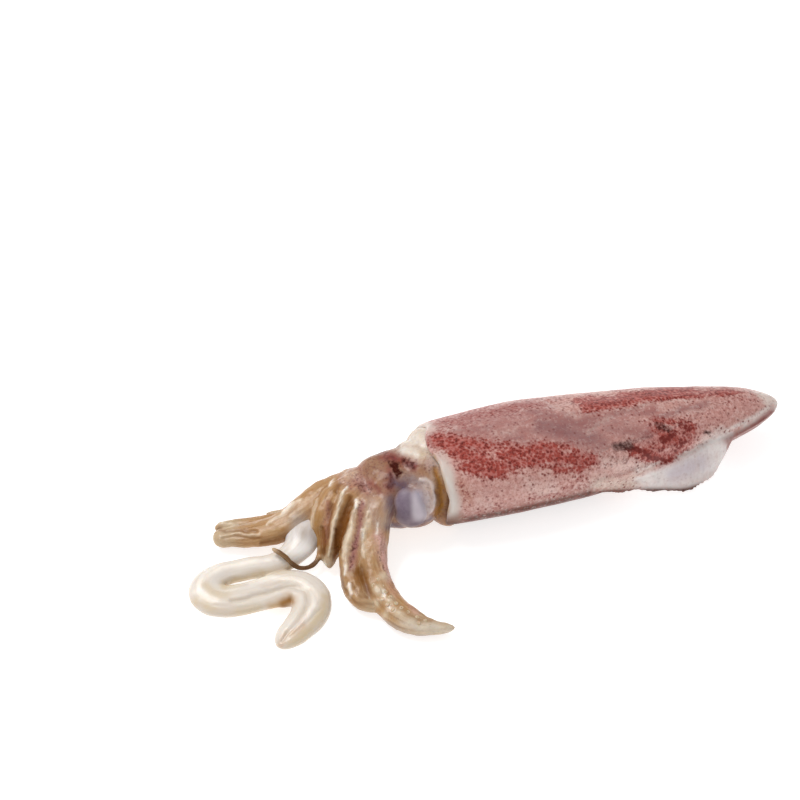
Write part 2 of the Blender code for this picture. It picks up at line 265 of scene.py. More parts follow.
def mantle_place(share, angle):
    """The ball's first rings become the hollow inside the collar, and the rest the skin."""
    hollow, rim = 0.12, 0.2
    x, y, z = mantle_point(np.zeros_like(share), angle, COLLAR_WALL)
    inward = np.clip(share / hollow, 0.0, 1.0)
    inside = (x + COLLAR_DEPTH, y * inward, blend(MANTLE_CENTRE, z, inward))
    turn = np.clip((share - hollow) / (rim - hollow), 0.0, 1.0)
    round_lip = np.clip((turn - 0.5) / 0.5, 0.0, 1.0) * math.pi
    x, y, z = mantle_point(np.zeros_like(share), angle, COLLAR_WALL / 2 * (1 + np.cos(round_lip)))
    wall = blend(COLLAR_DEPTH, COLLAR_WALL / 2, np.clip(turn / 0.5, 0.0, 1.0))
    lip = (x + np.where(turn < 0.5, wall, COLLAR_WALL / 2 * (1 - np.sin(round_lip))), y, z)
    along = np.clip((share - rim) / (1 - rim), 0.0, 1.0)
    x, y, z = mantle_point(1 - (1 - along) ** 1.5, angle)
    skin = (x + COLLAR_WALL / 2 * np.maximum(0.0, 1 - along / 0.02), y, z)
    return [np.where(share < hollow, a, np.where(share < rim, b, c))
            for a, b, c in zip(inside, lip, skin)]


def fin_reach(along):
    """How much of the way from the mantle's side down to the table the fin covers."""
    rise = np.clip((along - FIN_START) / (FIN_WIDEST - FIN_START), 0.0, 1.0)
    fall = np.clip((along - FIN_WIDEST) / (FIN_BREAK - FIN_WIDEST), 0.0, 1.0)
    strip = FIN_STRIP * np.sqrt(np.clip((FIN_END - along) / (FIN_END - FIN_BREAK), 0.0, 1.0))
    return np.where(along < FIN_WIDEST, np.sin(math.pi / 2 * rise) ** 0.45,
                    blend(strip, 1.0, np.sqrt(1 - fall ** 3)))


def fin_place(side):
    """The fin grows out of the mantle's side, hangs, and lies on the table by its edge."""
    def place(share, angle):
        along = blend(FIN_START, FIN_END, share)
        outward = (1 - np.cos(angle)) / 2
        thickness = blend(FIN_ROOT_THICKNESS, FIN_EDGE_THICKNESS, outward)
        thickness = thickness * np.sqrt(np.sin(math.pi * share))
        x, side_y, side_z = mantle_point(along, np.zeros_like(along))
        reach = (1 + FIN_ROOT_SHARE) * outward - FIN_ROOT_SHARE
        fall = np.maximum(0.0, reach) * fin_reach(along)
        flare = blend(FIN_FLARE_LEAST, FIN_FLARE_MOST, bell(along - FIN_WIDEST, FIN_FLARE_LENGTH))
        flare = flare + FIN_WAVE * np.sin(along * FIN_WAVE_RATE) * smooth((along - FIN_START) / 0.1)
        free = smooth(reach * 4 + 0.6)
        lean = np.arctan2(side_z, np.maximum(1.0, np.abs(flare)))
        y = side_y + flare * fall + np.minimum(0.0, reach) * 2 * FIN_ROOT_DEPTH
        z = blend(side_z, FIN_EDGE_THICKNESS / 2, fall ** 1.15)
        y = y + np.sin(angle) * thickness / 2 * np.sin(lean) * free
        z = z + np.sin(angle) * thickness / 2 * (1 - 0.6 * free)
        return x, side * y, np.maximum(z, 0.0)
    return place


mantle = grown_together("mantle", [
    drawn_ball("mantle_tube", 160, 220, mantle_place),
    drawn_ball("near_fin", 64, 110, fin_place(-1)),
    drawn_ball("far_fin", 64, 110, fin_place(1)),
], MANTLE_VOXEL, MANTLE_SMOOTHING)

# Folds that the skin shows on the near side, and soft swellings of the flesh
SKIN_FOLDS = [
    (2.5, 0.5, [(545, 399), (562, 409), (578, 418)]),
    (2.5, 0.6, [(588, 434), (606, 422), (636, 408), (688, 396)]),
    (2.5, 0.5, [(600, 452), (640, 440), (700, 418)]),
    (3.0, 0.7, [(634, 474), (660, 464), (690, 453), (716, 436)]),
    (2.5, 0.5, [(596, 492), (625, 483), (650, 478)]),
]
FOLD_DEPTH = 0.8
points = points_of(mantle)
folds = FOLD_DEPTH * pencil_for(mantle)(SKIN_FOLDS, taper=0.8)
swellings = lumps(points, (0.45, 19.0, 0.0), (0.12, 6.0, 5.0))
points += normals_of(mantle) * (swellings - folds)[:, None]
move_points(mantle, points)

# Colour zones of the skin. A place on it is its share of the length and its angle in degrees
# from the middle of the back, positive on the near side. Zones have uneven edges.
along = (points[:, 0] - COLLAR_X) / MANTLE_LENGTH
centre_z = blend(MANTLE_CENTRE, TAIL_CENTRE, np.clip(along, 0, 1))
true_around = np.degrees(np.arctan2(-points[:, 1], points[:, 2] - centre_z))
ragged = lumps(points, (1.0, 9.0, 2.0), (0.6, 3.5, 6.0))
along = along + 0.035 * ragged
around = true_around + 9.0 * lumps(points, (1.0, 8.0, 4.0), (0.5, 3.0, 8.0))
RED_BAND_TOP = [(-0.03, 2), (0.0, 3), (0.08, 8), (0.12, 14), (0.21, 31), (0.30, 47), (0.42, 62)]
RED_BAND_LOW = [(-0.03, 30), (0.0, 34), (0.03, 45), (0.08, 61), (0.18, 67), (0.29, 69), (0.42, 66)]
BACK_BAND_TOP = [(0.38, -24), (0.60, -30), (0.80, -26), (0.92, -14)]
BACK_BAND_LOW = [
    (0.38, 0), (0.46, 6), (0.52, 12), (0.57, 3), (0.64, 9), (0.69, 2), (0.77, 11), (0.83, 5), (0.92, 4)]
DUSK_TOP = [(-0.03, -44), (0.45, -38)]
DUSK_LOW = [(-0.03, 16), (0.24, 44), (0.42, 50)]
SILVER_FROM = [(0.46, 112), (0.51, 99), (0.57, 95), (0.66, 90), (0.73, 83), (0.76, 78), (0.84, 88)]


def outline_at(line, shares):
    """The angles of a line on the skin, at shares of the mantle's length."""
    return np.interp(shares, [place[0] for place in line], [place[1] for place in line])


def band(top, low, start, end, edge):
    """1 between two lines that run along the mantle and 0 outside them."""
    inside = smooth((around - outline_at(top, along)) / edge + 0.5)
    inside = inside * smooth((outline_at(low, along) - around) / edge + 0.5)
    return inside * smooth((along - start) / 0.05 + 0.5) * smooth((end - along) / 0.05 + 0.5)


def blotch(at, size, lean=0.0):
    """A soft patch at (share of length, angle), of half size (share, angle), leaning."""
    step = along - at[0]
    turn = around - at[1] - lean * step
    return np.exp(-((step / size[0]) ** 2 + (turn / size[1]) ** 2) ** 1.5)


def colour(code):
    """The linear colour of an sRGB hex code."""
    parts = [int(code[i:i + 2], 16) / 255 for i in (1, 3, 5)]
    return (*[p / 12.92 if p <= 0.04045 else ((p + 0.055) / 1.055) ** 2.4 for p in parts], 1.0)


def paint(piece, name, values):
    """Stores a value from 0 to 1 at each point, or a colour, for the material to read."""
    kind, field = ("FLOAT_COLOR", "color") if values.ndim == 2 else ("FLOAT", "value")
    layer = piece.data.attributes.new(name, kind, "POINT")
    layer.data.foreach_set(field, np.clip(values, 0.0, 1.0).astype(np.float32).ravel())


def laid_over(base, layers):
    """Colours of a piece's points: each colour is laid over the ones before by its mask."""
    tone = np.array(colour(base)) + np.zeros((len(layers[0][0]), 1))
    for mask, code in layers:
        tone += (np.array(colour(code)) - tone) * np.clip(mask, 0, 1)[:, None]
    return tone


# Where the picture shows the mantle's and the fin's low edge against the table
LOW_EDGE = [(448, 523.5), (480, 517.5), (520, 510), (560, 501), (590, 493.5)]
FIN_EDGE = [(590, 493.5), (620, 491), (660, 490), (684, 491), (702, 485)]
# Strokes of the skin's colours as the picture shows them, and of the highlights and shade painted on it
DEEP_RED = [
    (9, 1.05, [(437, 440), (452, 447), (468, 456), (486, 463), (503, 467)]),
    (8, 1.0, [(452, 440), (470, 443), (486, 448)]),
    (9, 1.0, [(468, 466), (484, 472), (503, 471)]),
    (9, 1.05, [(500, 454), (520, 453), (540, 449), (552, 450)]),
    (9, 1.0, [(515, 463), (540, 459), (560, 457), (580, 459), (593, 460)]),
    (6, 0.9, [(556, 470), (570, 470), (588, 465)]), (5, 0.8, [(560, 448), (570, 446), (580, 453)]),
    (7, 1.3, [(586, 405), (604, 404), (622, 401)]), (5.5, 0.8, [(577, 400), (590, 398)]),
    (8, 1.15, [(620, 400), (640, 396), (660, 393), (690, 390)]),
    (7, 0.6, [(690, 392), (712, 390), (734, 392)]), (9, 0.38, [(735, 398), (752, 402)]),
    (13, 0.64, [(656, 428), (672, 434), (688, 436)]), (9, 0.9, [(664, 438), (680, 441)]),
    (9, 1.0, [(636, 451), (652, 456), (668, 459)]), (8, 0.8, [(650, 447), (664, 446)]),
    (8, 0.75, [(674, 454), (690, 444)]), (7, 0.85, [(682, 424), (692, 430)]),
    (5, 0.9, [(655, 420), (672, 422)]), (14, 0.36, [(660, 452), (684, 436)]),
    (11, 0.42, [(565, 484), (590, 474)]), (8, 0.40, [(458, 482), (468, 494)]),
    (10, 0.40, [(600, 409), (565, 398)]), (14, 0.28, [(700, 405), (735, 404)]),
    (7, 0.36, [(495, 508), (502, 500)]), (8, 0.32, [(700, 432), (722, 420)]),
    (11, 0.50, [(440, 426), (480, 413), (520, 406), (545, 402)]), (9, 0.30, [(530, 500), (560, 492)]),
    (7, 0.32, [(690, 418), (716, 408), (740, 404)]),
]
SCARLET = [
    (3.2, 1.0, [(627, 449), (638, 450), (650, 456)]), (5, 0.65, [(588, 403), (606, 405), (620, 402)]),
    (5, 0.9, [(662, 440), (674, 434)]), (4.5, 0.85, [(680, 424), (690, 428)]),
    (4.5, 0.85, [(652, 457), (668, 461)]), (4, 0.6, [(640, 397), (655, 393)]),
    (4, 0.7, [(678, 447), (686, 441)]), (5, 0.5, [(500, 455), (540, 451)]),
    (5, 0.5, [(455, 452), (490, 466)]),
]
INK = [
    (6, 0.85, [(617, 447), (630, 446)]), (3, 0.5, [(634, 442), (652, 436)]),
    (6.5, 0.72, [(658, 425), (668, 429)]), (3, 0.85, [(706, 433), (709, 434)]),
    (5, 0.4, [(612, 458), (628, 460)]),
]
DUSK = [
    (13, 0.9, [(540, 428), (585, 438), (600, 441)]), (9, 0.6, [(470, 432), (500, 431), (540, 430)]),
    (9, 0.7, [(600, 426), (625, 430), (648, 433)]),
]
PLUM = [
    (6, 0.8, [(540, 423), (562, 429), (590, 437)]), (3, 0.5, [(505, 440), (524, 437)]),
    (3, 0.6, [(636, 413), (655, 412)]), (3.5, 0.7, [(655, 419), (680, 410), (706, 404)]),
    (4, 0.5, [(530, 412), (556, 418)]), (3, 0.4, [(450, 430), (490, 428)]),
]
# Pale streaks of the skin, and painted highlights at the collar's lobe and along the back's upper edge
PALE_STREAKS_AND_HIGHLIGHTS = [
    (4, 0.6, [(540, 398), (560, 408), (577, 417)]), (3, 0.5, [(498, 433), (514, 430)]),
    (3.5, 0.55, [(588, 432), (606, 421), (622, 413), (636, 408), (660, 402), (688, 397)]),
    (4, 0.8, [(424, 431), (440, 429), (456, 428)]), (3, 0.4, [(690, 412), (730, 402)]),
    (1.6, 0.3, [(470, 407), (500, 401), (540, 395), (580, 391), (630, 387)]),
]
PALE_SKIN = [
    (8, 0.9, [(606, 464), (630, 467), (650, 464)]), (8, 0.7, [(530, 486), (550, 489)]),
    (5, 0.6, [(478, 502), (490, 506)]), (5, 0.5, [(700, 440), (712, 430)]),
    (6, 0.5, [(600, 480), (585, 488)]),
]
REAR_ROSE = [(15, 0.8, [(656, 434), (684, 438)]), (11, 0.8, [(648, 453), (672, 453)])]
BACK_ROSE = [(13, 0.7, [(440, 428), (480, 414), (520, 406), (545, 404)])]
TAIL_ROSE = [(12, 0.5, [(700, 408), (745, 402)]), (9, 0.4, [(700, 426), (730, 415)])]
FLANK_ROSE = [(8, 0.5, [(458, 484), (467, 498)])]
BACK_LINE = [(6, 0.7, [(616, 415), (636, 413), (654, 409)])]
FIN_FRONT = [(8, 0.9, [(598, 485), (620, 485), (640, 481)])]
FIN_GREY = [(9, 0.9, [(674, 474), (700, 463)])]
# A painted highlight along the fin's root, over its pale skin
FIN_ROOT_HIGHLIGHT = [(3.5, 0.7, [(637, 471), (662, 462), (692, 451), (714, 437), (722, 428)])]
# The tail's red-brown underside, painted darker as shade
TAIL_UNDER_SHADE = [(5.0, 1.0, [(729, 441), (743, 433), (757, 424), (771, 412)])]
TAIL_LIGHT = [(2.4, 0.9, [(722, 433), (738, 425), (754, 417), (768, 408)])]
COLLAR_LIGHT = [(2.2, 0.6, [(447, 478), (452, 492), (454, 512)])]
# Painted shade along the collar's lip, on its edge toward the gap round the neck
COLLAR_LIP_SHADE = [(1.6, 0.7, [(434, 455), (441, 472), (447, 490), (448, 512)])]
# Painted shade where the collar's foot meets the table
COLLAR_FOOT_SHADE = [(4.5, 0.8, [(445, 521), (462, 518)])]
LOW_SHADE = [(8.0, 0.45, LOW_EDGE), (4.2, 1.1, LOW_EDGE), (2.6, 1.0, FIN_EDGE)]

draw, at_edge = pencil_for(mantle), pencil_for(mantle, wobble=0.0)
far_side = smooth((-around - 32) / 12)
silver_edge = outline_at(SILVER_FROM, along)
silver = smooth((np.abs(true_around) - silver_edge) / 9 + 0.5) * smooth((along - 0.47) / 0.06)
silver = silver * (1 - 0.25 * smooth(-true_around / 20))
silver = silver * smooth((0.83 - along) / 0.03)
rim_x = COLLAR_X - COLLAR_LOBE * bell(np.radians(true_around), COLLAR_LOBE_SPREAD)
rim = smooth((6.6 + 1.2 * ragged - (points[:, 0] - rim_x)) / 3.8)
rim = rim * smooth(0.5 + (np.abs(true_around) - 25) / 40)
red = np.maximum.reduce([
    0.65 * band(RED_BAND_TOP, RED_BAND_LOW, -0.02, 0.41, 16.0), draw(DEEP_RED),
    0.85 * band(BACK_BAND_TOP, BACK_BAND_LOW, 0.45, 0.93, 18.0) * smooth((0.97 - along) / 0.12),
    far_side * 0.9 * blotch((0.16, -62), (0.17, 20), -40.0),
    far_side * 0.8 * blotch((0.56, -60), (0.12, 18), 60.0),
]) * (1 - silver) * (1 - rim)
dusk = np.maximum.reduce([
    0.5 * band(DUSK_TOP, DUSK_LOW, -0.10, 0.34, 18.0), 0.9 * blotch((0.38, 24), (0.13, 22), 40.0),
    draw(DUSK),
]) * (1 - rim)
# Pale streaks, with painted highlights among them
streaks_and_highlights = np.maximum(draw(PALE_STREAKS_AND_HIGHLIGHTS), 0.6 * blotch((0.42, -20), (0.22, 4.0), -20.0))
pale = np.maximum(draw(PALE_SKIN), far_side * 0.7 * blotch((0.42, -84), (0.10, 12)))
tail_strip = np.maximum(blotch((0.88, 86), (0.11, 7.0), -60.0),
                        blotch((0.88, -86), (0.11, 7.0), 60.0)) * (along > 0.78)
tail_shade = smooth((np.abs(around) - 93) / 6) * smooth((along - 0.79) / 0.02)
# Painted shade: the skin darker towards the table, less so on the fins
low_band_shade = smooth((7.5 - points[:, 2]) / 5.0) * (1 - 0.5 * silver)
# Painted contact shade in a narrow band where the skin meets the table
contact_shade = smooth((blend(6.2, 2.6, silver) - points[:, 2]) / 1.8)
skin_normals = normals_of(mantle)
outward = skin_normals[:, 1] * points[:, 1] + skin_normals[:, 2] * (points[:, 2] - MANTLE_CENTRE)
# Painted shade: dark brown on the collar's inner wall, inside its hollow
inside = smooth(-outward / 8) * (along < 0.13) * smooth((points[:, 0] - rim_x - 1) / 3)
paint(mantle, "tone", laid_over("#C8988F", [
    (smooth((np.abs(around) - 112) / 30), "#C6A79C"), (draw(REAR_ROSE), "#BE7A73"),
    (draw(BACK_ROSE), "#A5645F"), (draw(TAIL_ROSE), "#B57C76"), (draw(FLANK_ROSE), "#B27A60"),
    (pale, "#D8B9B1"), (dusk, "#95625F"), (draw(PLUM), "#855859"), (streaks_and_highlights, "#C6A49C"),
    (draw(BACK_LINE), "#985C58"), (draw(FIN_FRONT), "#CCB8AB"), (silver, "#DFD6D3"),
    (draw(FIN_GREY), "#C4B9C0"), (draw(FIN_ROOT_HIGHLIGHT), "#DAD0CB"),
    (smooth((along - 0.92) / 0.05), "#DDCCC3"), (tail_shade, "#94605A"), (tail_strip, "#D9CCC5"),
    (at_edge(TAIL_UNDER_SHADE, past_edge=0.4), "#84463E"), (at_edge(TAIL_LIGHT), "#DDD1CB"),
    (rim, "#CFC2BA"), (draw(COLLAR_LIGHT), "#DAD4CE"), (at_edge(COLLAR_LIP_SHADE), "#A98E66"),
    (0.5 * low_band_shade, "#8A675A"), (0.6 * contact_shade, "#77503F"),
    (at_edge(LOW_SHADE, past_edge=0.6), "#472518"), (at_edge(COLLAR_FOOT_SHADE, past_edge=0.4), "#7E5A4A"),
    (inside, "#6F4522"),
]))
paint(mantle, "red", red)
paint(mantle, "dusk", dusk)
paint(mantle, "thin", silver)
pigmented = (1 - 0.85 * silver) * (1 - rim) * (1 - 0.4 * dusk) * (1 - tail_strip) * (1 - inside)
pigmented = pigmented * (1 - smooth((np.abs(around) - 120) / 20))
paint(mantle, "freckled", pigmented * (1 - 0.6 * smooth((along - 0.91) / 0.05)))
low_edge = at_edge([(6.0, 1.0, LOW_EDGE + FIN_EDGE[1:])], past_edge=0.5)
paint(mantle, "shaded", np.maximum(low_edge, contact_shade))
paint(mantle, "scarlet", draw(SCARLET))
paint(mantle, "ink", draw(INK))


def add_node(material, kind, inputs=None, output=0, **settings):
    """Adds a node, or takes the Principled BSDF that a material comes with, and gives one of
    its outputs. An input takes another node's output, a value or an sRGB hex code."""
    tree = material.node_tree
    if kind == "BsdfPrincipled":
        made = tree.nodes["Principled BSDF"]
    else:
        made = tree.nodes.new("ShaderNode" + kind)
    for name, value in settings.items():
        setattr(made, name, value)
    for name, value in (inputs or {}).items():
        if isinstance(value, bpy.types.NodeSocket):
            tree.links.new(value, made.inputs[name])
        else:
            made.inputs[name].default_value = colour(value) if isinstance(value, str) else value
    return made.outputs[output]


def dappled(material, tint, layers):
    """Lays colours over a tint. Each layer is a pattern, the values of it where the colour
    begins and is full, how much of it each point takes, its strength and the colour."""
    for pattern, begins, full, taken, strength, laid in layers:
        mask = add_node(material, "MapRange", {
            "Value": pattern, "From Min": begins, "From Max": full, "To Max": strength})
        mask = add_node(material, "Math", {0: mask, 1: taken}, operation="MULTIPLY")
        tint = add_node(material, "MixRGB", {"Fac": mask, "Color1": tint, "Color2": laid})
    return tint


# Raw squid skin: a clear wet film over milky muscle, full of red-brown pigment cells about
# 1 mm across when open. Crowded cells make the deep red zones, and shut ones the fine dots.
skin = bpy.data.materials.new("wet_squid_skin")
skin.use_nodes = True
place = add_node(skin, "TexCoord", output="Object")
thin, red, freckled, streaked, scarlet, ink, shaded = [
    add_node(skin, "Attribute", attribute_name=name, output="Fac")
    for name in ("thin", "red", "freckled", "dusk", "scarlet", "ink", "shaded")]
tone = add_node(skin, "Attribute", attribute_name="tone", output="Color")
drift = add_node(skin, "TexNoise", {
    "Vector": place, "Scale": 1 / (6.0 * MM), "Detail": 4.0, "Roughness": 0.65})
mottle = add_node(skin, "TexNoise", {
    "Vector": place, "Scale": 1 / (1.5 * MM), "Detail": 4.0, "Roughness": 0.7})
smear = add_node(skin, "Mapping", {
    "Vector": place, "Scale": (1 / (9 * MM), 1 / (1.7 * MM), 1 / (1.7 * MM))})
smear = add_node(skin, "TexNoise", {"Vector": smear, "Scale": 1.0, "Detail": 3.0})
across = add_node(skin, "Mapping", {
    "Vector": place, "Scale": (1 / (1.4 * MM), 1 / (9 * MM), 1 / (9 * MM))})
across = add_node(skin, "TexNoise", {"Vector": across, "Scale": 1.0, "Detail": 3.0})
cells = add_node(skin, "TexVoronoi", {"Vector": place, "Scale": 1 / (1.2 * MM)})
dots = add_node(skin, "TexVoronoi", {"Vector": place, "Scale": 1 / (2.2 * MM)})
for pattern, share in [(drift, 1.1), (mottle, 0.9), (cells, -0.4)]:
    red = add_node(skin, "Math", {0: pattern, 1: share, 2: red}, operation="MULTIPLY_ADD")
red = add_node(skin, "MapRange", {
    "Value": red, "From Min": 1.02, "From Max": 1.70}, interpolation_type="SMOOTHSTEP")
deep_red = dappled(skin, "#9E4238", [
    (mottle, 0.47, 0.62, 1.0, 1.0, "#641710"), (cells, 0.45, 0.75, 1.0, 0.6, "#C47C74")])
crowded = add_node(skin, "MapRange", {"Value": drift, "From Min": 0.38, "From Max": 0.55})
crowded = add_node(skin, "Math", {0: crowded, 1: freckled}, operation="MULTIPLY")
scarlet = add_node(skin, "Math", {0: mottle, 1: 1.6, 2: scarlet}, operation="MULTIPLY_ADD")
ink = add_node(skin, "Math", {0: mottle, 1: 1.2, 2: ink}, operation="MULTIPLY_ADD")
ink = add_node(skin, "MapRange", {"Value": ink, "From Min": 0.85, "From Max": 1.5})
tint = dappled(skin, tone, [
    (drift, 0.38, 0.55, 1.0, 0.10, "#D8C6C0"), (mottle, 0.47, 0.62, freckled, 0.50, "#A2645C"),
    (mottle, 0.47, 0.36, freckled, 0.40, "#E0C4BD"), (smear, 0.42, 0.64, streaked, 0.30, "#7E5254"),
    (across, 0.48, 0.70, thin, 0.20, "#B3A4A7"), (drift, 0.47, 0.65, thin, 0.35, "#BFADA9"),
    (cells, 0.32, 0.16, freckled, 0.45, "#96534B"), (dots, 0.30, 0.17, crowded, 0.9, "#74342D"),
    (red, 0.0, 1.0, 1.0, 1.0, deep_red), (scarlet, 1.25, 1.6, 1.0, 0.85, "#6E170E"),
    (ink, 0.0, 1.0, 1.0, 0.92, "#382120")])
gloss = add_node(skin, "MapRange", {
    "Value": mottle, "From Min": 0.3, "From Max": 0.7, "To Min": 0.28, "To Max": 0.42})
relief = add_node(skin, "Bump", {"Height": mottle, "Strength": 0.2, "Distance": 0.15 * MM})
relief = add_node(skin, "Bump", {
    "Height": drift, "Strength": 0.25, "Distance": 0.5 * MM, "Normal": relief})
# Dark marks and the shaded low edge don't shine
dull = add_node(skin, "Math", {0: ink, 1: shaded}, operation="MAXIMUM")
add_node(skin, "BsdfPrincipled", {
    "Base Color": tint, "Roughness": gloss, "Normal": relief, "IOR": 1.38,
    "Coat Weight": add_node(skin, "MapRange", {"Value": dull, "To Min": 0.2, "To Max": 0.0}),
    "Specular IOR Level": add_node(skin, "MapRange", {"Value": dull, "To Min": 0.35, "To Max": 0.05}),
    "Subsurface Weight": 0.3, "Subsurface Radius": (1.0, 0.45, 0.35),
    "Subsurface Scale": 0.8 * MM, "Coat Roughness": 0.16})

mantle.data.materials.clear()
mantle.data.materials.append(skin)
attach(mantle, "root")
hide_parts("squid")


# Head and arms
# The head sits in the collar on a short neck, with an eye on each side. Eight arms grow out
# of its front: soft ribbons of clear amber muscle, creased deeply where they lie together.
# Head and arms are one flesh under a thin skin.

# Each mass: its centre and its half sizes
HEAD_FORMS = {
    "head": ((-95, -0.5, 14.5), (21, 18, 14.5)),
    "neck": ((-84, 0, 16.6), (18, 18, 15.8)),
    "nape": ((-82, 5, 20.8), (8, 15, 13.2)),
    "throat": ((-79.5, -6, 8), (8, 13.5, 8)),
    "arm_crown": ((-110, 0, 13), (15, 13, 11)),
    "near_eye_socket": ((-93.0, -12.5, 15.8), (11.2, 9.2, 10.6)),
    "far_eye_socket": ((-93.5, 10, 12), (10.6, 8.6, 9.6)),
    "funnel": ((-90, 0, 4.5), (13, 7, 4.5)),
    "arm_web": ((-120.5, -40.0, 3.0), (6.0, 9.0, 4.6)),
}
# Each arm: width and thickness, the shares of its length where it begins and ends to taper,
# its size at the tip, and the line that it follows from the head
ARMS = {
    "near_arm_4": (11.8, 9, 0.74, 1.0, 0.36, [
        (-96, -4, 17), (-106.5, -12, 18.5), (-114, -23, 12), (-118, -37, 6.5),
        (-116.5, -52, 4.4), (-110, -63, 4), (-96.5, -68.9, 3.0)]),
    "near_arm_3": (11.0, 9, 0.7, 1.0, 0.35, [
        (-100, -2, 17), (-114, -10, 17.5), (-121, -20, 12.5), (-124.8, -31, 6.5),
        (-126.2, -41, 4.4), (-123.5, -48.5, 4), (-115.5, -51.5, 3.6)]),
    "near_arm_2": (10, 9, 0.8, 1.0, 0.28, [
        (-103, 0, 18), (-117, -4, 18.5), (-126, -11.5, 13.5), (-131, -19.5, 6), (-133, -25, 3.5)]),
    "near_arm_1": (11, 8, 0.38, 0.60, 0.22, [
        (-105, 3, 18), (-121, 0, 18.5), (-130, -7, 14), (-133.5, -14, 8.5), (-136, -19.5, 5),
        (-140, -22.3, 4.4), (-145.1, -22.9, 6.4), (-149.3, -19.0, 10.2), (-153.0, -13.4, 10.6)]),
    "far_arm_1": (14, 9, 0.62, 1.0, 0.66, [
        (-106, 6, 16), (-124, 5, 15.5), (-136, 1, 12), (-146, -1, 8), (-157, 1, 5.6),
        (-166, 4, 4.4), (-173, 5, 3.8)]),
    "far_arm_2": (8.0, 6.5, 0.5, 1.0, 0.6, [
        (-104, 9, 12), (-120, 9, 8), (-132, 7, 5), (-144, 7, 4.4), (-156, 9, 3.8),
        (-164, 11.5, 3.4), (-171, 12, 3.0)]),
    "far_arm_3": (8.5, 7.5, 0.5, 1.0, 0.28, [
        (-103, 9, 11), (-112, 12, 7), (-121, 13, 4), (-131, 11, 3.8), (-141, 12, 3), (-149, 15, 2)]),
    "far_arm_4": (9, 7.5, 0.5, 1.0, 0.28, [
        (-100, 8, 9), (-108, 13, 5), (-117, 16, 4), (-127, 17, 3.6), (-135, 16, 2.6),
        (-140, 15, 2)]),
}
HEAD_VOXEL, HEAD_SMOOTHING = 0.52, 8


def rounded_mass(centre, half):
    """A ball of that centre and those half sizes, flat where it lies on the table."""
    def place(share, angle):
        ring = np.sin(math.pi * share)
        return (centre[0] + half[0] * np.cos(math.pi * share),
                centre[1] + half[1] * ring * np.cos(angle),
                np.maximum(0.0, centre[2] + half[2] * ring * np.sin(angle)))
    return place


def arm_place(width, thickness, taper_from, taper_to, tip, length):
    """A straight arm along +X that tapers to a rounded end."""
    def place(share, angle):
        size = np.minimum(1.0, np.sqrt(share / 0.03))
        size = size * blend(1.0, tip, smooth((share - taper_from) / (taper_to - taper_from)))
        size = size * np.sqrt(np.maximum(0.0, 1 - np.maximum(0.0, (share - 0.94) / 0.06) ** 2))
        return (length * share, width / 2 * size * np.cos(angle),
                thickness / 2 * size * np.sin(angle))
    return place


def route_length(route):
    """The length of a route, measured straight from point to point."""
    return sum((Vector(b) - Vector(a)).length for a, b in zip(route, route[1:]))


def bend_along(piece, route):
    """Bends a straight form that lies along +X to a smooth line, and rests it on the table."""
    data = bpy.data.curves.new(piece.name + "_line", "CURVE")
    data.dimensions = "3D"
    data.twist_mode = "Z_UP"
    data.resolution_u = 16
    data.use_stretch = data.use_deform_bounds = True
    spline = data.splines.new("BEZIER")
    spline.bezier_points.add(len(route) - 1)
    for knot, point in zip(spline.bezier_points, route):
        knot.co = Vector(point) * MM
        knot.handle_left_type = knot.handle_right_type = "AUTO"
    line = bpy.data.objects.new(data.name, data)
    bpy.context.scene.collection.objects.link(line)
    apply_modifier(piece, "CURVE", object=line, deform_axis="POS_X")
    bpy.data.objects.remove(line)
    move_points(piece, points_of(piece))


def standing_out(piece, rounds):
    """How far each point stands out of the piece's smoothed form, in millimetres."""
    select_only(piece)
    bpy.ops.object.duplicate()
    calm = bpy.context.object
    apply_modifier(calm, "SMOOTH", factor=0.5, iterations=rounds)
    out = ((points_of(piece) - points_of(calm)) * normals_of(piece)).sum(axis=1)
    bpy.data.objects.remove(calm)
    return out


def spread(piece, values, rounds):
    """Softens a mask over the piece's skin: each point takes the mean of its edges' middles."""
    ends = np.empty(2 * len(piece.data.edges), np.int32)
    piece.data.edges.foreach_get("vertices", ends)
    one, other = ends.reshape(-1, 2).T
    count = np.bincount(ends, minlength=len(values))
    for _ in range(rounds):
        middle = (values[one] + values[other]) / 2
        total = np.bincount(one, middle, len(values)) + np.bincount(other, middle, len(values))
        values = total / count
    return values


def lie_lengthwise(piece, length_mm, around_mm):
    """Stores each point's way along its arm and round it, for fibres that follow the arm."""
    layer = piece.data.attributes.new("lengthwise", "FLOAT_VECTOR", "POINT")
    rolled = np.column_stack([length_mm, around_mm, np.zeros(len(length_mm))]) * MM
    layer.data.foreach_set("vector", rolled.astype(np.float32).ravel())


def nearest_in(known, places):
    """For each place, the number of the nearest known point and its distance."""
    tree = kdtree.KDTree(len(known))
    for index, point in enumerate(known):
        tree.insert(point, index)
    tree.balance()
    found = [tree.find(place) for place in places]
    return np.array([index for _, index, _ in found]), np.array([away for *_, away in found])


head_forms, flesh_points, flesh_places, arm_skins = [], [], [], {}
for name, (centre, half) in HEAD_FORMS.items():
    form = drawn_ball(name, 48, 40, rounded_mass(centre, half))
    head_forms.append(form)
    flesh_points.append(points_of(form))
    flesh_places.append(np.column_stack([np.zeros(len(form.data.vertices)), points_of(form)[:, :2]]))
for name, (*size, route) in ARMS.items():
    length = route_length(route)
    form = drawn_ball(name, 40, 140, arm_place(*size, length))
    straight = points_of(form)
    turn = np.arctan2(straight[:, 2], straight[:, 1])
    flesh_places.append(np.column_stack([straight[:, 0] / length, straight[:, 0], turn * size[0] / 2]))
    bend_along(form, route)
    head_forms.append(form)
    flesh_points.append(points_of(form))
    arm_skins[name] = (straight[:, 0] / length, turn, points_of(form), normals_of(form))

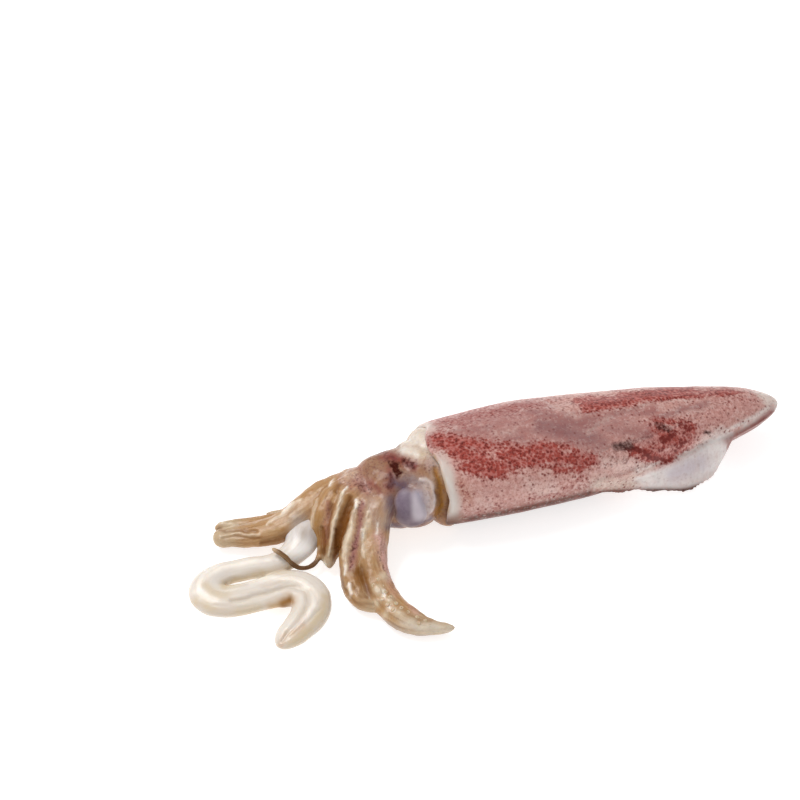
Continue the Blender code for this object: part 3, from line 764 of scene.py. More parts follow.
head = grown_together("head_and_arms", head_forms, HEAD_VOXEL, HEAD_SMOOTHING)
points = points_of(head)

# Each point of the joined skin takes its place along and round its arm from the arm's form
flesh_places = np.concatenate(flesh_places)
nearest, _ = nearest_in(np.concatenate(flesh_points), points)
arm_share = flesh_places[nearest, 0]

# Strokes of the relief, as the picture shows it: crests that catch the light, bumps, and
# creases between the arms and round the eye
CRESTS = [
    (2.2, 1.0, [(347, 486), (341, 497), (337, 510), (334, 525), (331, 545), (328, 558)]),
    (3.6, 0.9, [(358, 498), (353, 517), (348, 535), (345, 555), (346, 576)]),
    (3.0, 0.75, [(370, 509), (365, 526), (362, 545), (364, 560)]), (1.6, 0.9, [(349, 582), (350, 598)]),
    (1.6, 0.9, [(303, 498), (290, 507), (280, 515), (266, 524)]), (1.6, 0.4, [(336, 479), (330, 487)]),
    (2.6, 0.9, [(321, 560), (325, 565)]), (1.8, 0.6, [(318, 496), (312, 515), (312, 532)]),
    (1.5, 0.5, [(315, 553), (320, 545)]), (1.8, 0.6, [(217, 524), (240, 524)]),
    (1.5, 0.5, [(230, 535), (262, 533)]), (2.0, 0.5, [(400, 624), (430, 628), (450, 629)]),
]
BUMPS = [
    (4.5, 0.9, [(384, 576)]), (5.0, 0.9, [(379, 589)]), (4.5, 0.8, [(390, 601)]),
    (4.0, 0.8, [(377, 603)]), (6.0, 0.8, [(399, 614)]), (4.5, 0.7, [(412, 622)]),
    (4.0, 0.7, [(387, 615)]), (4.5, 0.6, [(427, 628)]),
]
CREASES = [
    (5.5, 1.0, [(352, 494), (347, 511), (342, 526), (338, 543), (335, 562)]),
    (2.6, 0.6, [(341, 481), (335, 494)]),
    (3.0, 0.75, [(333, 502), (330, 513), (328, 530), (325, 548), (322, 558)]),
    (4.0, 0.9, [(322, 526), (325, 542), (322, 556)]),
    (2.4, 0.35, [(346, 588), (352, 600), (362, 605), (374, 604)]),
    (2.4, 0.3, [(352, 582), (358, 595), (370, 598)]),
    (3.2, 0.6, [(258, 544), (276, 541), (289, 536)]), (2.0, 0.5, [(214, 529), (235, 531), (258, 530)]),
    (1.8, 0.35, [(222, 538), (240, 537), (262, 537)]),
]
PINK_CREASES = [
    (3.6, 1.0, [(360, 502), (361, 520), (357, 536), (353, 550), (351, 568)]),
    (3.5, 0.6, [(329, 504), (327, 520), (325, 540)]),
]
# The gap between the collar and the neck: pressed in, and painted brown as shade
COLLAR_GAP = [(4.0, 1.0, [(434, 465), (438, 478), (442, 489), (444, 500), (441, 511), (436, 518)])]
EYE_FOLD = [(2.2, 0.9, [(419, 479), (429, 481), (434, 490), (434, 503), (429, 514)])]
EYE_SEAT = [(12, 1.0, [(406, 500), (412, 512)])]
BROW = [(8, 1.0, [(348, 471), (358, 467), (366, 462)])]
# Heights and depths of the relief, in millimetres
CREST_HEIGHT, EYE_FOLD_HEIGHT, BUMP_HEIGHT, BROW_HEIGHT = 0.5, 0.6, 0.5, 1.1
CREASE_DEPTH, COLLAR_GAP_DEPTH, PINK_CREASE_DEPTH, EYE_SEAT_DEPTH = 0.9, 0.8, 0.5, 1.4

draw = pencil_for(head)
smudge = pencil_for(head, wobble=2.2)
lift = CREST_HEIGHT * draw(CRESTS, taper=0.6) + EYE_FOLD_HEIGHT * draw(EYE_FOLD, taper=0.5)
lift += BUMP_HEIGHT * draw(BUMPS) + BROW_HEIGHT * draw(BROW, past_edge=0.6)
lift -= CREASE_DEPTH * draw(CREASES, taper=0.6) + COLLAR_GAP_DEPTH * draw(COLLAR_GAP, taper=0.4)
lift -= PINK_CREASE_DEPTH * draw(PINK_CREASES[:1]) + EYE_SEAT_DEPTH * draw(EYE_SEAT, sharpness=4)
lift += lumps(points, (0.22, 4.0, 0.0), (0.35, 12.0, 4.0), (0.16, 2.2, 9.0))
points += normals_of(head) * lift[:, None]
move_points(head, points)
standing = standing_out(head, 40)


def spot(at, size):
    """A soft patch round a place, of those half sizes along X, Y and Z in millimetres."""
    return np.exp(-(((points - np.array(at)) / np.array(size)) ** 2).sum(axis=1) ** 1.5)


# Strokes of the head's and the arms' colours, as the picture shows them, and of the highlights and shade
# painted on them
GLINTS = [
    (1.3, 1.0, [(357, 499), (355, 508)]), (1.2, 1.0, [(347, 487), (344, 492)]),
    (1.1, 0.9, [(333, 480), (331, 485)]), (1.3, 1.0, [(350, 584), (351, 593)]),
    (1.6, 1.0, [(383, 590), (384, 597)]), (1.2, 0.8, [(345, 566), (345, 574)]),
    (1.1, 0.8, [(294, 503), (284, 511)]), (1.2, 0.8, [(363, 530), (362, 540)]),
    (1.4, 0.8, [(324, 563)]), (1.2, 0.7, [(376, 524), (377, 532)]), (1.3, 0.8, [(389, 607), (394, 611)]),
]
MAUVE_SKIN = [
    (9, 0.9, [(356, 479), (368, 487)]), (6, 0.6, [(366, 471), (357, 475)]),
    (5, 0.6, [(342, 478), (352, 487)]), (5, 0.8, [(379, 470), (386, 484)]),
    (4, 0.5, [(366, 490), (386, 492)]),
]
BROWN_SKIN = [
    (10, 0.95, [(368, 471), (392, 461)]), (8, 0.9, [(386, 478), (374, 475)]),
    (4, 0.9, [(408, 461), (419, 464), (430, 471)]), (4, 0.7, [(392, 490), (394, 500)]),
]
CREAM_SKIN = [
    (7, 1.0, [(403, 450), (416, 452)]), (7, 1.0, [(418, 436), (424, 446)]),
    (5, 0.9, [(410, 446), (420, 440)]),
]
RED_MARKS = [
    (6, 0.85, [(382, 453), (394, 457)]), (5.5, 0.9, [(395, 458), (413, 466)]),
    (5, 0.7, [(389, 468), (391, 488)]), (3, 0.6, [(372, 482), (380, 490)]),
]
BLOOD_SPECKS = [
    (5, 1.25, [(396, 465), (399, 470)]), (4, 0.8, [(403, 461), (410, 466)]), (3, 0.7, [(391, 461)]),
    (4, 0.7, [(389, 474), (391, 486)]), (3.5, 0.5, [(384, 452), (394, 457)]),
    (4, 0.45, [(356, 484), (372, 489)]), (3, 0.4, [(379, 552), (384, 568)]),
    (2, 0.5, [(338, 528), (336, 552)]), (2, 0.5, [(351, 545), (351, 566)]),
]
PINK_EDGE = [(6, 0.9, [(380, 536), (383, 554), (389, 574), (397, 592)]), (3, 0.5, [(402, 598), (418, 613)])]
EYE_VIOLET = [
    (8, 1.0, [(396, 482), (404, 486)]), (5, 0.7, [(390, 496), (391, 514)]),
    (3.5, 1.0, [(391, 527), (403, 527), (418, 525), (431, 518)]),
]
EYE_GREY = [(6, 0.9, [(407, 477), (421, 483)])]
EYE_FRONT = [(5, 0.9, [(389, 498), (389, 526)])]
EYE_REAR = [(4, 1.0, [(426, 486), (429, 500), (426, 516)])]
EYE_LILAC = [(9, 1.0, [(417, 497), (419, 512)])]
EYE_LENS = [(8.5, 1.0, [(404, 498), (404, 514)])]
BROW_LIGHT = [(5, 0.7, [(345, 477), (353, 475)])]
BROW_LINE = [(1.8, 0.7, [(345, 469), (363, 459), (382, 451), (398, 446)])]
NECK_CREAM = [(5, 0.9, [(423, 454), (433, 454)])]
NECK_MAUVE = [(5, 0.9, [(428, 461), (434, 470)])]
CHEEK = [(9, 0.9, [(370, 503), (376, 524)]), (6, 0.8, [(384, 498), (385, 524)])]
ARM_ROOT = [(7, 0.6, [(366, 530), (368, 550), (372, 566)])]
ARM_BEND = [(5, 0.7, [(393, 584), (399, 598), (407, 609)])]
# Painted shade in a hollow between the arms
ARM_HOLLOW_SHADE = [(8, 0.95, [(359, 573), (363, 580)]), (6, 0.6, [(364, 582), (369, 590)])]
ARM_MARK = [(3, 0.4, [(366, 586), (370, 594)])]
ARM_TIP = [(7, 0.85, [(405, 624), (430, 629), (450, 630)])]
ARM_TIP_LINE = [(2.4, 0.7, [(398, 604), (412, 616), (430, 621)])]
ARM_TIP_FOOT = [(2.5, 0.6, [(385, 622), (405, 634), (430, 637)])]
FRONT_AMBER = [(6, 0.9, [(314, 505), (318, 530), (320, 548)]), (5, 0.7, [(275, 530), (285, 532)])]
FRONT_GREY = [(10, 0.8, [(298, 520), (298, 546)])]
# Painted shade on the shaded side of an arm, between two arms
WEB_SHADE = [(7, 0.85, [(333, 570), (339, 588)])]
# Painted shade on the hook's low side, with a darker line of painted shade beside it
HOOK_UNDERSIDE_SHADE = [(4.5, 1.0, [(318, 563), (309, 566), (300, 567), (292, 563), (286, 556), (279, 551)])]
HOOK_SHADE = [(4.5, 1.0, [(318, 562), (309, 566), (300, 567), (294, 565)])]

on_arm = spread(head, smooth((arm_share - 0.04) / 0.2), 60)
# Painted shade: darker close to the table
near_table_shade = smooth((3.5 - points[:, 2]) / 3.0)
mauve = np.maximum(draw(MAUVE_SKIN + PINK_CREASES), 0.8 * spot((-110.5, 6, 22), (6, 4, 5)))
brown = np.maximum.reduce([
    draw(BROWN_SKIN, past_edge=0.3), 0.9 * spot((-102, 8, 26), (9, 6, 5)),
    0.6 * spot((-92, 14, 24), (6, 6, 6))])
cream = np.maximum(draw(CREAM_SKIN, past_edge=0.3), 0.9 * spot((-86, 8, 30), (8, 8, 6)))
nape_light = smooth((points[:, 0] + 88) / 3) * smooth((points[:, 2] - 24) / 4)
pink_edge = draw(PINK_EDGE)
red_marks = draw(RED_MARKS, past_edge=0.12)
# Painted shade in the creases between the arms and in the hollow
crease, hollow = draw(CREASES, taper=0.5), draw(ARM_HOLLOW_SHADE)
head_tone = laid_over("#A98266", [
    # On the arms, painted light where the flesh stands out and painted shade where it sinks in
    (on_arm, "#AE8558"), (on_arm * smooth((standing - 0.1) / 0.6), "#C3A47E"),
    (smooth(-standing / 0.6), "#7E5530"), (smooth((arm_share - 0.75) / 0.2), "#BDA688"),
    (draw(CHEEK), "#B89E8F"), (draw(ARM_ROOT), "#B08E68"), (pink_edge, "#DCB0A8"),
    (draw(ARM_BEND), "#B98C58"), (draw(BUMPS), "#D3C4AC"), (draw(FRONT_AMBER), "#A0743C"),
    (mauve, "#A4706A"), (0.85 * brown, "#8A6244"), (cream, "#E0D8CE"), (1.15 * red_marks, "#7C2C26"),
    (draw(BROW_LIGHT), "#CFB49C"), (draw(NECK_CREAM), "#C7B08F"), (0.7 * nape_light, "#D8CABD"),
    (draw(NECK_MAUVE), "#BBA098"), (near_table_shade, "#83614A"), (draw(EYE_GREY), "#93807F"),
    (draw(EYE_FRONT), "#8A7472"), (draw(EYE_VIOLET), "#604B5A"), (draw(EYE_REAR), "#C9B9B6"),
    (draw(EYE_LILAC, sharpness=4), "#A89FAB"), (draw(EYE_LENS, sharpness=4), "#6A5B6F"),
    # Painted shade in the gap between the collar and the neck
    (draw(EYE_FOLD, taper=0.4), "#D6CAC7"), (draw(COLLAR_GAP, taper=0.3), "#B07C38"),
    # Pale crests, painted lighter still as highlight where they catch the light
    (draw(FRONT_GREY), "#B3A69C"), (draw(WEB_SHADE), "#85766F"), (draw(CRESTS, taper=0.6), "#E2D3BD"),
    (draw(ARM_TIP), "#D8CBB9"), (draw(ARM_TIP_LINE), "#A27F5C"),
    (draw(ARM_TIP_FOOT, past_edge=0.3), "#A79C93"), (crease, "#6C3D0E"), (hollow, "#70430F"),
    (draw(HOOK_UNDERSIDE_SHADE, past_edge=0.5), "#6B4920"), (draw(HOOK_SHADE, past_edge=0.5), "#50300A"),
    (draw(ARM_MARK), "#6E4A48"), (draw(BROW_LINE, past_edge=0.5), "#6E4A3C"), (draw(GLINTS), "#FBF6EC"),
])
crease_shade = np.maximum(crease, hollow)
fibrous = on_arm * (1 - 0.6 * smooth((arm_share - 0.8) / 0.2))
speckled = np.maximum.reduce([
    mauve, 0.9 * brown, 0.5 * pink_edge, red_marks, 0.35 * (1 - on_arm) * (1 - cream)])
paint(head, "tone", head_tone)
paint(head, "fibrous", fibrous * (1 - 0.5 * mauve) * (1 - 0.7 * crease_shade))
paint(head, "speckled", speckled * (1 - draw(EYE_LENS + EYE_LILAC + EYE_FOLD)))
paint(head, "blood", smudge(BLOOD_SPECKS))
paint(head, "shaded", 0.85 * crease_shade)
lie_lengthwise(head, flesh_places[nearest, 1], flesh_places[nearest, 2])

# Squid head and arm flesh: clear amber muscle under a thin skin. Fine fibres run along the
# arms, and pigment cells about 1 mm across speckle the head and the creases.
flesh = bpy.data.materials.new("wet_amber_flesh")
flesh.use_nodes = True
place = add_node(flesh, "TexCoord", output="Object")
fibrous, speckled, blood, shaded = [
    add_node(flesh, "Attribute", attribute_name=name, output="Fac")
    for name in ("fibrous", "speckled", "blood", "shaded")]
tone = add_node(flesh, "Attribute", attribute_name="tone", output="Color")
drift = add_node(flesh, "TexNoise", {"Vector": place, "Scale": 1 / (7.0 * MM), "Detail": 3.0})
mottle = add_node(flesh, "TexNoise", {
    "Vector": place, "Scale": 1 / (1.4 * MM), "Detail": 3.0, "Roughness": 0.65})
cells = add_node(flesh, "TexVoronoi", {"Vector": place, "Scale": 1 / (1.3 * MM)})
fibres = add_node(flesh, "Attribute", attribute_name="lengthwise", output="Vector")
fibres = add_node(flesh, "Mapping", {"Vector": fibres, "Scale": (1 / (13 * MM), 1 / (1.3 * MM), 1.0)})
fibres = add_node(flesh, "TexNoise", {"Vector": fibres, "Scale": 1.0, "Detail": 3.0})
blood = add_node(flesh, "Math", {0: mottle, 1: 1.3, 2: blood}, operation="MULTIPLY_ADD")
blood = add_node(flesh, "MapRange", {"Value": blood, "From Min": 0.95, "From Max": 1.6})
tint = dappled(flesh, tone, [
    (drift, 0.42, 0.62, 1.0, 0.16, "#A5713D"), (fibres, 0.52, 0.70, fibrous, 0.32, "#DCC6A4"),
    (fibres, 0.48, 0.32, fibrous, 0.38, "#74491F"), (mottle, 0.48, 0.64, 1.0, 0.12, "#8A6650"),
    (mottle, 0.48, 0.64, speckled, 0.62, "#7C4A3E"), (cells, 0.42, 0.22, speckled, 0.65, "#66322B"),
    (blood, 0.0, 1.0, 1.0, 0.96, "#3A0602")])
gloss = add_node(flesh, "MapRange", {
    "Value": mottle, "From Min": 0.3, "From Max": 0.7, "To Min": 0.26, "To Max": 0.42})
gloss = add_node(flesh, "Math", {0: speckled, 1: 0.16, 2: gloss}, operation="MULTIPLY_ADD")
relief = add_node(flesh, "Bump", {"Height": fibres, "Strength": 0.3, "Distance": 0.25 * MM})
relief = add_node(flesh, "Bump", {
    "Height": mottle, "Strength": 0.25, "Distance": 0.2 * MM, "Normal": relief})
dull = add_node(flesh, "Math", {0: blood, 1: shaded}, operation="MAXIMUM")
add_node(flesh, "BsdfPrincipled", {
    "Base Color": tint, "Roughness": gloss, "Normal": relief, "IOR": 1.38,
    "Coat Weight": add_node(flesh, "MapRange", {"Value": dull, "To Min": 0.22, "To Max": 0.0}),
    "Specular IOR Level": add_node(flesh, "MapRange", {"Value": dull, "To Min": 0.38, "To Max": 0.05}),
    "Subsurface Weight": 0.35, "Subsurface Radius": (1.0, 0.6, 0.35),
    "Subsurface Scale": 1.0 * MM, "Coat Roughness": 0.17})
head.data.materials.clear()
head.data.materials.append(flesh)
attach(head, "root")
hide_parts("squid")


# Suckers
# Small round cups in two rows along the arms' inner sides, each with a raised rim round a
# hollow. They are the same soft muscle as the arms, paler, and stand half out of the skin.

SUCKER_RADIUS, SUCKER_SPACING, SUCKER_SINK, SUCKER_LEAST = 0.95, 3.3, 0.3, 0.6
# Each arm's first and last share of its length with suckers, and its two rows' turns in degrees
SUCKERED = {
    "near_arm_4": (0.56, 0.90, (92, 124)),
    "far_arm_2": (0.45, 0.93, (20, -15)),
    "far_arm_3": (0.40, 0.90, (25, -10)),
    "far_arm_4": (0.40, 0.90, (25, -10)),
}


def cup_place(share, angle):
    """A squat ball with a dimple in its top."""
    ring = SUCKER_RADIUS * np.sin(math.pi * share) ** 0.8
    height = SUCKER_RADIUS * (0.8 * np.cos(math.pi * share) - 0.5 * bell(share, 0.14))
    return ring * np.cos(angle), ring * np.sin(angle), height


cup = drawn_ball("sucker", 10, 7, cup_place)
suckers = []
for name, (first, last, rows) in SUCKERED.items():
    shares, turns, skin_points, directions = arm_skins[name]
    width, _, taper_from, taper_to, tip, route = ARMS[name]
    length = route_length(route)
    for row, row_turn in enumerate(rows):
        start = first * length + row * SUCKER_SPACING / 2
        for step in np.arange(start, last * length, SUCKER_SPACING):
            off_turn = (turns - math.radians(row_turn) + math.pi) % (2 * math.pi) - math.pi
            seat = np.argmin((shares * length - step) ** 2 + (off_turn * width / 2) ** 2)
            size = blend(1.0, tip, smooth((step / length - taper_from) / (taper_to - taper_from)))
            sucker = cup.copy()
            sucker.data = cup.data.copy()
            bpy.context.scene.collection.objects.link(sucker)
            turned = Vector(directions[seat]).to_track_quat("Z", "Y")
            sized = points_of(cup) * blend(SUCKER_LEAST, 1.0, size)
            stood = np.array([turned @ Vector(point) for point in sized])
            move_points(sucker, stood + skin_points[seat] - directions[seat] * SUCKER_SINK)
            suckers.append(sucker)
bpy.data.objects.remove(cup)
select_only(*suckers)
bpy.ops.object.join()
suckers = bpy.context.view_layer.objects.active
suckers.name = suckers.data.name = "suckers"
bpy.ops.object.shade_smooth()

# Pale sucker muscle: soft, faintly mottled and less glossy than the arms' thin wet skin
cups = bpy.data.materials.new("pale_sucker_muscle")
cups.use_nodes = True
place = add_node(cups, "TexCoord", output="Object")
mottle = add_node(cups, "TexNoise", {"Vector": place, "Scale": 1 / (1.0 * MM), "Detail": 2.0})
tint = dappled(cups, "#CFBB9F", [(mottle, 0.4, 0.65, 1.0, 1.0, "#BEA282")])
gloss = add_node(cups, "MapRange", {
    "Value": mottle, "From Min": 0.4, "From Max": 0.65, "To Min": 0.4, "To Max": 0.5})
add_node(cups, "BsdfPrincipled", {
    "Base Color": tint, "Roughness": gloss, "IOR": 1.38, "Subsurface Weight": 0.3,
    "Subsurface Scale": 1.0 * MM, "Coat Weight": 0.08, "Coat Roughness": 0.25})
suckers.data.materials.append(cups)
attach(suckers, "root")
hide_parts("squid")


# Eyes
# Each eye is a large ball under a clear skin: a dark violet lens seen through it towards the
# arms, and a lilac-grey ball round it. It stands a little proud of the head.

# Each eye: its centre and its half sizes
EYES = {
    "near_eye": ((-95.1, -12.9, 16.4), (9.3, 9.2, 9.2)),
    "far_eye": ((-95.3, 10.4, 13.2), (9.8, 9.0, 9.2)),
}
BALL_REAR = [(3, 1.0, [(427, 488), (429, 500), (427, 514)])]
EYE_GLINT = [(2.2, 0.8, [(394, 515)])]
for name, (centre, half) in EYES.items():
    eye = drawn_ball(name, 96, 72, rounded_mass(centre, half))
    points = points_of(eye)
    nearest, away = nearest_in(points_of(head), points)
    skin_tone, skin_edge = head_tone[nearest], smooth(1.15 - away / 1.3)
    draw = pencil_for(eye, wobble=0.3)
    side = smooth((points[:, 1] - 2) / 2)
    ball_tone = laid_over("#8E7E86", [
        (side * spot((-95, 20, centre[2]), (8, 8, 7)), "#A89FAB"),
        (side * spot((-98, 19, centre[2]), (5, 7, 5)), "#5F5168"),
        (draw(EYE_GREY), "#93807F"), (draw(EYE_FRONT), "#8A7472"), (draw(EYE_VIOLET), "#604B5A"),
        (draw(BALL_REAR), "#C9B9B6"), (draw(EYE_LILAC, sharpness=4), "#C3B9C1"),
        (draw(EYE_LENS, sharpness=4), "#786978"), (draw(EYE_GLINT), "#D9C6C4"),
    ])
    # The head's skin runs on over the ball's edge
    paint(eye, "tone", blend(ball_tone, skin_tone, skin_edge[:, None]))
    bpy.ops.object.shade_smooth()

    # Clear wet skin over the ball: it is smooth, a little milky, and hides no colour below it
    ball = bpy.data.materials.new("clear_skin_over_" + name)
    ball.use_nodes = True
    place = add_node(ball, "TexCoord", output="Object")
    tone = add_node(ball, "Attribute", attribute_name="tone", output="Color")
    cloud = add_node(ball, "TexNoise", {"Vector": place, "Scale": 1 / (2.5 * MM), "Detail": 3.0})
    tint = dappled(ball, tone, [(cloud, 0.42, 0.65, 1.0, 0.12, "#B9AEB6")])
    gloss = add_node(ball, "MapRange", {
        "Value": cloud, "From Min": 0.3, "From Max": 0.7, "To Min": 0.34, "To Max": 0.46})
    add_node(ball, "BsdfPrincipled", {
        "Base Color": tint, "Roughness": gloss, "IOR": 1.38, "Specular IOR Level": 0.3,
        "Subsurface Weight": 0.3, "Subsurface Radius": (0.8, 0.6, 0.8),
        "Subsurface Scale": 1.5 * MM, "Coat Weight": 0.08, "Coat Roughness": 0.2})
    eye.data.materials.append(ball)
    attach(eye, "root")
    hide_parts("squid")


# Tentacles
# Two tentacles about twice as long as the arms: a round stalk, then a broad club with a groove along its
# upper side. Their muscle has hardly any pigment, so it is milky white; its low sides are painted beige as
# shade.

STALK_WIDTH, CLUB_WIDTH, TENTACLE_THICKNESS = 10.0, 15.0, 7.5
CLUB_START, CLUB_FULL = 0.42, 0.57
BULGE, BULGE_AT, BULGE_LENGTH = 5.5, 0.19, 0.08
FOLD_SKIN, FOLD_AT, FOLD_LENGTH = 3.2, 0.735, 0.035
TENTACLE_VOXEL, TENTACLE_SMOOTHING = 0.5, 5
# Each tentacle: how many rings it is drawn with, and the line that it follows from the head
TENTACLES = {
    "near_tentacle": (420, [
        (-108, 3, 11), (-127, 0, 10.5), (-136, -5.5, 9.5), (-142.5, -13, 6.5), (-152, -16.3, 4.4),
        (-164, -15.3, 4), (-174, -15.5, 4), (-180, -19.5, 4), (-180.5, -24.5, 4), (-177, -28.5, 4),
        (-170, -30.3, 4), (-162, -30.3, 4), (-156, -29.4, 4), (-150, -29.4, 4), (-145.3, -33, 4),
        (-144, -39, 4), (-147, -46, 4), (-152, -50.5, 3.8), (-157.5, -54, 3.4), (-162, -56.5, 3)]),
    "far_tentacle": (300, [
        (-108, 5, 10), (-112, 12, 6), (-107, 18, 4.2), (-96, 21, 4), (-84, 25, 4),
        (-72, 32, 4), (-58, 37, 4), (-44, 38, 4), (-30, 36, 4), (-16, 37, 4), (-4, 40, 3.5),
        (6, 41, 2.5)]),
}
# Where the picture shows the near tentacle's grooves, painted with shade, its light upper sides, painted
# with highlights, its beige low sides, painted as shade, the pocket inside its bend, painted as shade, and
# the stalk beside the arms, with painted shade and a painted highlight
CLUB_GROOVE = [
    (3.2, 0.9, [(230, 601), (240, 600), (258, 595), (275, 590), (292, 586), (304, 589),
                (309, 599), (306, 611), (297, 622), (288, 632), (281, 643)]),
]
FAINT_GROOVES = [
    (2.0, 0.5, [(262, 586), (285, 582), (303, 584), (315, 592), (318, 602)]),
    (2.0, 0.5, [(212, 604), (235, 608), (260, 604)]),
    (2.0, 0.6, [(322, 608), (310, 620), (296, 630), (287, 640)]),
]
# Painted shade in the groove near the tip
TIP_GROOVE_SHADE = [(3.5, 0.9, [(303, 625), (292, 633), (284, 636), (281, 645)])]
# Painted highlights along the milky upper sides, which are also raised a little
MILK_HIGHLIGHT = [
    (3.5, 0.9, [(214, 571), (240, 563), (270, 560)]), (3, 0.8, [(196, 592), (200, 583), (210, 573)]),
    (3.0, 0.9, [(250, 583), (275, 577), (300, 579), (318, 592), (316, 605), (303, 618), (290, 629)]),
]
# Painted shade in beige on the low sides
MILK_LOW_SHADE = [
    (5, 1.0, [(224, 585), (245, 579), (275, 572), (296, 567)]),
    (7, 0.8, [(196, 602), (212, 611), (235, 614), (258, 611)]),
    (6.5, 0.95, [(325, 598), (323, 612), (315, 625), (302, 636), (289, 645)]),
    (4, 0.6, [(279, 641), (280, 650)]), (5, 0.6, [(204, 585), (213, 593), (226, 596)]),
]
# Painted shade in the pocket inside the bend, darkest in its depth
POCKET = [(7, 0.9, [(272, 606), (282, 603), (290, 600)])]
POCKET_DEPTH = [(5.0, 0.95, [(283, 604), (287, 602), (289, 601)])]
STALK_SHADE = [(9, 0.9, [(296, 514), (302, 530)]), (7, 0.9, [(314, 532), (317, 548)])]
# A painted highlight on the pale swollen stalk
STALK_HIGHLIGHT = [(8, 1.0, [(299, 550), (306, 552)])]
# Heights and depths of the relief, in millimetres
MILK_LIGHT_HEIGHT, CLUB_GROOVE_DEPTH, FAINT_GROOVE_DEPTH, FAR_GROOVE_DEPTH = 0.3, 0.9, 0.4, 1.2


def tentacle_place(length, looped):
    """A straight tentacle along +X: a thin stalk, then a broad club with a rounded tip. The
    looped one, with 1, has a swollen stalk and skin pinched out inside its sharpest bend."""
    def place(share, angle):
        club = smooth((share - CLUB_START) / (CLUB_FULL - CLUB_START))
        bulge = looped * BULGE * bell(share - BULGE_AT, BULGE_LENGTH)
        width = blend(STALK_WIDTH, CLUB_WIDTH, club) + bulge
        size = np.minimum(1.0, np.sqrt(share / 0.02))
        size = size * blend(blend(0.6, 0.9, looped), 1.0, smooth(share / 0.2))
        size = size * (1 - 0.28 * smooth((share - 0.86) / 0.14))
        size = size * np.sqrt(np.maximum(0.0, 1 - np.maximum(0.0, (share - 0.95) / 0.05) ** 2))
        pinched = looped * bell(share - FOLD_AT, FOLD_LENGTH) * np.maximum(0.0, -np.cos(angle))
        z = TENTACLE_THICKNESS / 2 * np.sin(angle) * size * (1 - 0.4 * pinched)
        return length * share, width / 2 * size * np.cos(angle) - FOLD_SKIN * pinched, z
    return place


# Squid tentacle muscle: almost without pigment, so it is milky, wet and lets light in. Soft
# fibres run along it.
milky = bpy.data.materials.new("wet_milky_muscle")
milky.use_nodes = True
place = add_node(milky, "TexCoord", output="Object")
tone = add_node(milky, "Attribute", attribute_name="tone", output="Color")
shaded = add_node(milky, "Attribute", attribute_name="shaded", output="Fac")
unshaded = add_node(milky, "MapRange", {"Value": shaded, "To Min": 1.0, "To Max": 0.0})
fibres = add_node(milky, "Attribute", attribute_name="lengthwise", output="Vector")
fibres = add_node(milky, "Mapping", {"Vector": fibres, "Scale": (1 / (25 * MM), 1 / (2.0 * MM), 1.0)})
fibres = add_node(milky, "TexNoise", {"Vector": fibres, "Scale": 1.0, "Detail": 3.0})
drift = add_node(milky, "TexNoise", {"Vector": place, "Scale": 1 / (8.0 * MM), "Detail": 3.0})
tint = dappled(milky, tone, [
    (fibres, 0.5, 0.72, unshaded, 0.40, "#CCBDA9"), (fibres, 0.48, 0.30, unshaded, 0.35, "#F6EFE6"),
    (drift, 0.45, 0.65, unshaded, 0.35, "#D6CCC8")])
gloss = add_node(milky, "MapRange", {
    "Value": drift, "From Min": 0.3, "From Max": 0.7, "To Min": 0.26, "To Max": 0.38})
relief = add_node(milky, "Bump", {"Height": fibres, "Strength": 0.3, "Distance": 0.3 * MM})
add_node(milky, "BsdfPrincipled", {
    "Base Color": tint, "Roughness": gloss, "Normal": relief, "IOR": 1.38,
    "Coat Weight": add_node(milky, "MapRange", {"Value": shaded, "To Min": 0.3, "To Max": 0.0}),
    "Specular IOR Level": add_node(milky, "MapRange", {"Value": shaded, "To Min": 0.4, "To Max": 0.05}),
    "Subsurface Weight": 0.4, "Subsurface Radius": (1.0, 0.75, 0.55),
    "Subsurface Scale": 1.6 * MM, "Coat Roughness": 0.18})

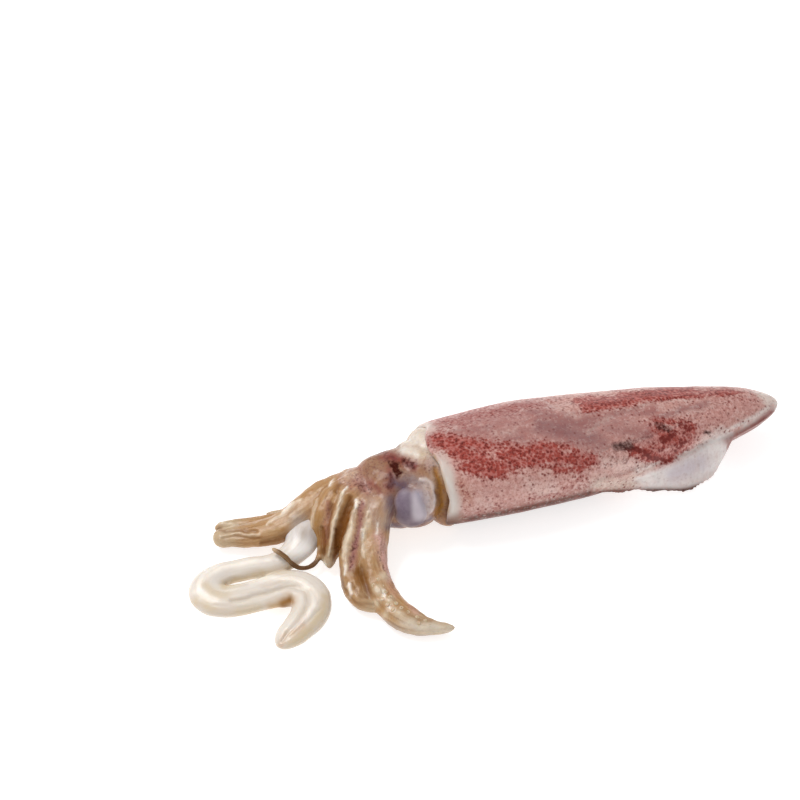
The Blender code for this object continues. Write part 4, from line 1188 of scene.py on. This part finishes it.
for name, (rings, route) in TENTACLES.items():
    length = route_length(route)
    looped = name == "near_tentacle"
    form = drawn_ball(name, 72, rings, tentacle_place(length, float(looped)))
    straight = points_of(form)
    bend_along(form, route)
    bent = points_of(form)
    tentacle = grown_together(name, [form], TENTACLE_VOXEL, TENTACLE_SMOOTHING)
    points = points_of(tentacle)
    nearest, _ = nearest_in(bent, points)
    straight = straight[nearest]
    turn = np.arctan2(straight[:, 2], straight[:, 1])
    share = straight[:, 0] / length
    draw = pencil_for(tentacle, wobble=0.7)
    club = smooth((share - CLUB_START) / (CLUB_FULL - CLUB_START)) * (turn > 0)
    lift = lumps(points, (0.3, 9.0, 0.0), (0.1, 4.0, 3.0))
    if looped:
        lift += MILK_LIGHT_HEIGHT * draw(MILK_HIGHLIGHT) - CLUB_GROOVE_DEPTH * draw(CLUB_GROOVE, taper=0.6)
        lift -= FAINT_GROOVE_DEPTH * draw(FAINT_GROOVES, taper=0.7)
    else:
        lift -= FAR_GROOVE_DEPTH * club * bell(np.cos(turn) - 0.1, 0.2) * smooth((1 - share) / 0.1)
    points += normals_of(tentacle) * lift[:, None]
    move_points(tentacle, points)
    lie_lengthwise(tentacle, straight[:, 0], turn * STALK_WIDTH / 2)
    # Painted shade: darker close to the table
    near_table_shade = smooth((3.2 - points[:, 2]) / 3.0)
    # Painted shade in the pocket inside the bend
    pocket = looped * draw(POCKET, past_edge=1.0)
    paint(tentacle, "shaded", pocket)
    # Painted shade along the club's groove
    layers = [(near_table_shade, "#CBBDAD"), (0.5 * club * bell(np.cos(turn) - 0.1, 0.3), "#D8CABA")]
    if looped:
        layers += [
            (draw(MILK_LOW_SHADE, past_edge=0.4), "#D0BD9E"), (draw(MILK_HIGHLIGHT), "#F6EEE4"),
            # Painted shade in the grooves
            (draw(TIP_GROOVE_SHADE), "#C7A27A"), (0.7 * draw(CLUB_GROOVE), "#CDBDAA"),
            (0.7 * draw(FAINT_GROOVES), "#D2C3B0"), (smooth((0.30 - share) / 0.08), "#D6D0CF"),
            (draw(STALK_SHADE), "#A4968C"), (draw(STALK_HIGHLIGHT), "#ECE8E4"),
            (0.85 * pocket, "#C4A070"), (draw(POCKET_DEPTH, past_edge=1.0), "#96682F"),
        ]
    else:
        amber_root = smooth((0.19 + lumps(points, (0.04, 5.0, 0.0)) - share) / 0.08)
        layers.append((amber_root, "#A57E52"))
    paint(tentacle, "tone", laid_over("#E1D9D0", layers))
    bpy.ops.object.shade_smooth()
    tentacle.data.materials.append(milky)
    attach(tentacle, "root")
    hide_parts("squid")


# Studio
# A plain white table under one large soft light from above and behind, with a weaker one in
# front, in a white room.

# The table's size, and how far it lies below the squid so that the two don't touch, in metres
TABLE_SIZE, TABLE_GAP = 6.0, 0.0002
bpy.ops.object.select_all(action="DESELECT")
bpy.ops.mesh.primitive_plane_add(size=TABLE_SIZE, location=(0, 0, -TABLE_GAP))
table = bpy.context.object
table.name = "table"
white = bpy.data.materials.new("matt_white_board")
white.use_nodes = True
add_node(white, "BsdfPrincipled", {
    "Base Color": "#CFCFCF", "Roughness": 0.7, "Emission Color": "#FFFFFF", "Emission Strength": 0.69})
table.data.materials.append(white)

# Places and sizes of the lights in metres, their power in watts. Both aim at the squid.
LIGHTS = {
    "overhead": ((-0.45, 0.40, 0.90), 0.5, 6.9, "#FFFDFA"),
    "front_fill": ((-0.5, -0.9, 0.6), 0.9, 1.2, "#FFFFFF"),
}
AIM = Vector((-0.05, 0, 0))
for name, (stand, size, power, tint) in LIGHTS.items():
    lamp = bpy.data.lights.new(name, "AREA")
    lamp.shape = "RECTANGLE"
    lamp.size = lamp.size_y = size
    lamp.energy = power
    lamp.color = colour(tint)[:3]
    holder = bpy.data.objects.new(name, lamp)
    holder.location = stand
    holder.rotation_euler = (AIM - Vector(stand)).to_track_quat("-Z", "Y").to_euler()
    bpy.context.scene.collection.objects.link(holder)

world = bpy.data.worlds.new("white_room")
world.use_nodes = True
world.node_tree.nodes["Background"].inputs["Color"].default_value = colour("#FFFFFF")
world.node_tree.nodes["Background"].inputs["Strength"].default_value = 0.55
bpy.context.scene.world = world
bpy.context.scene.view_settings.view_transform = "Standard"
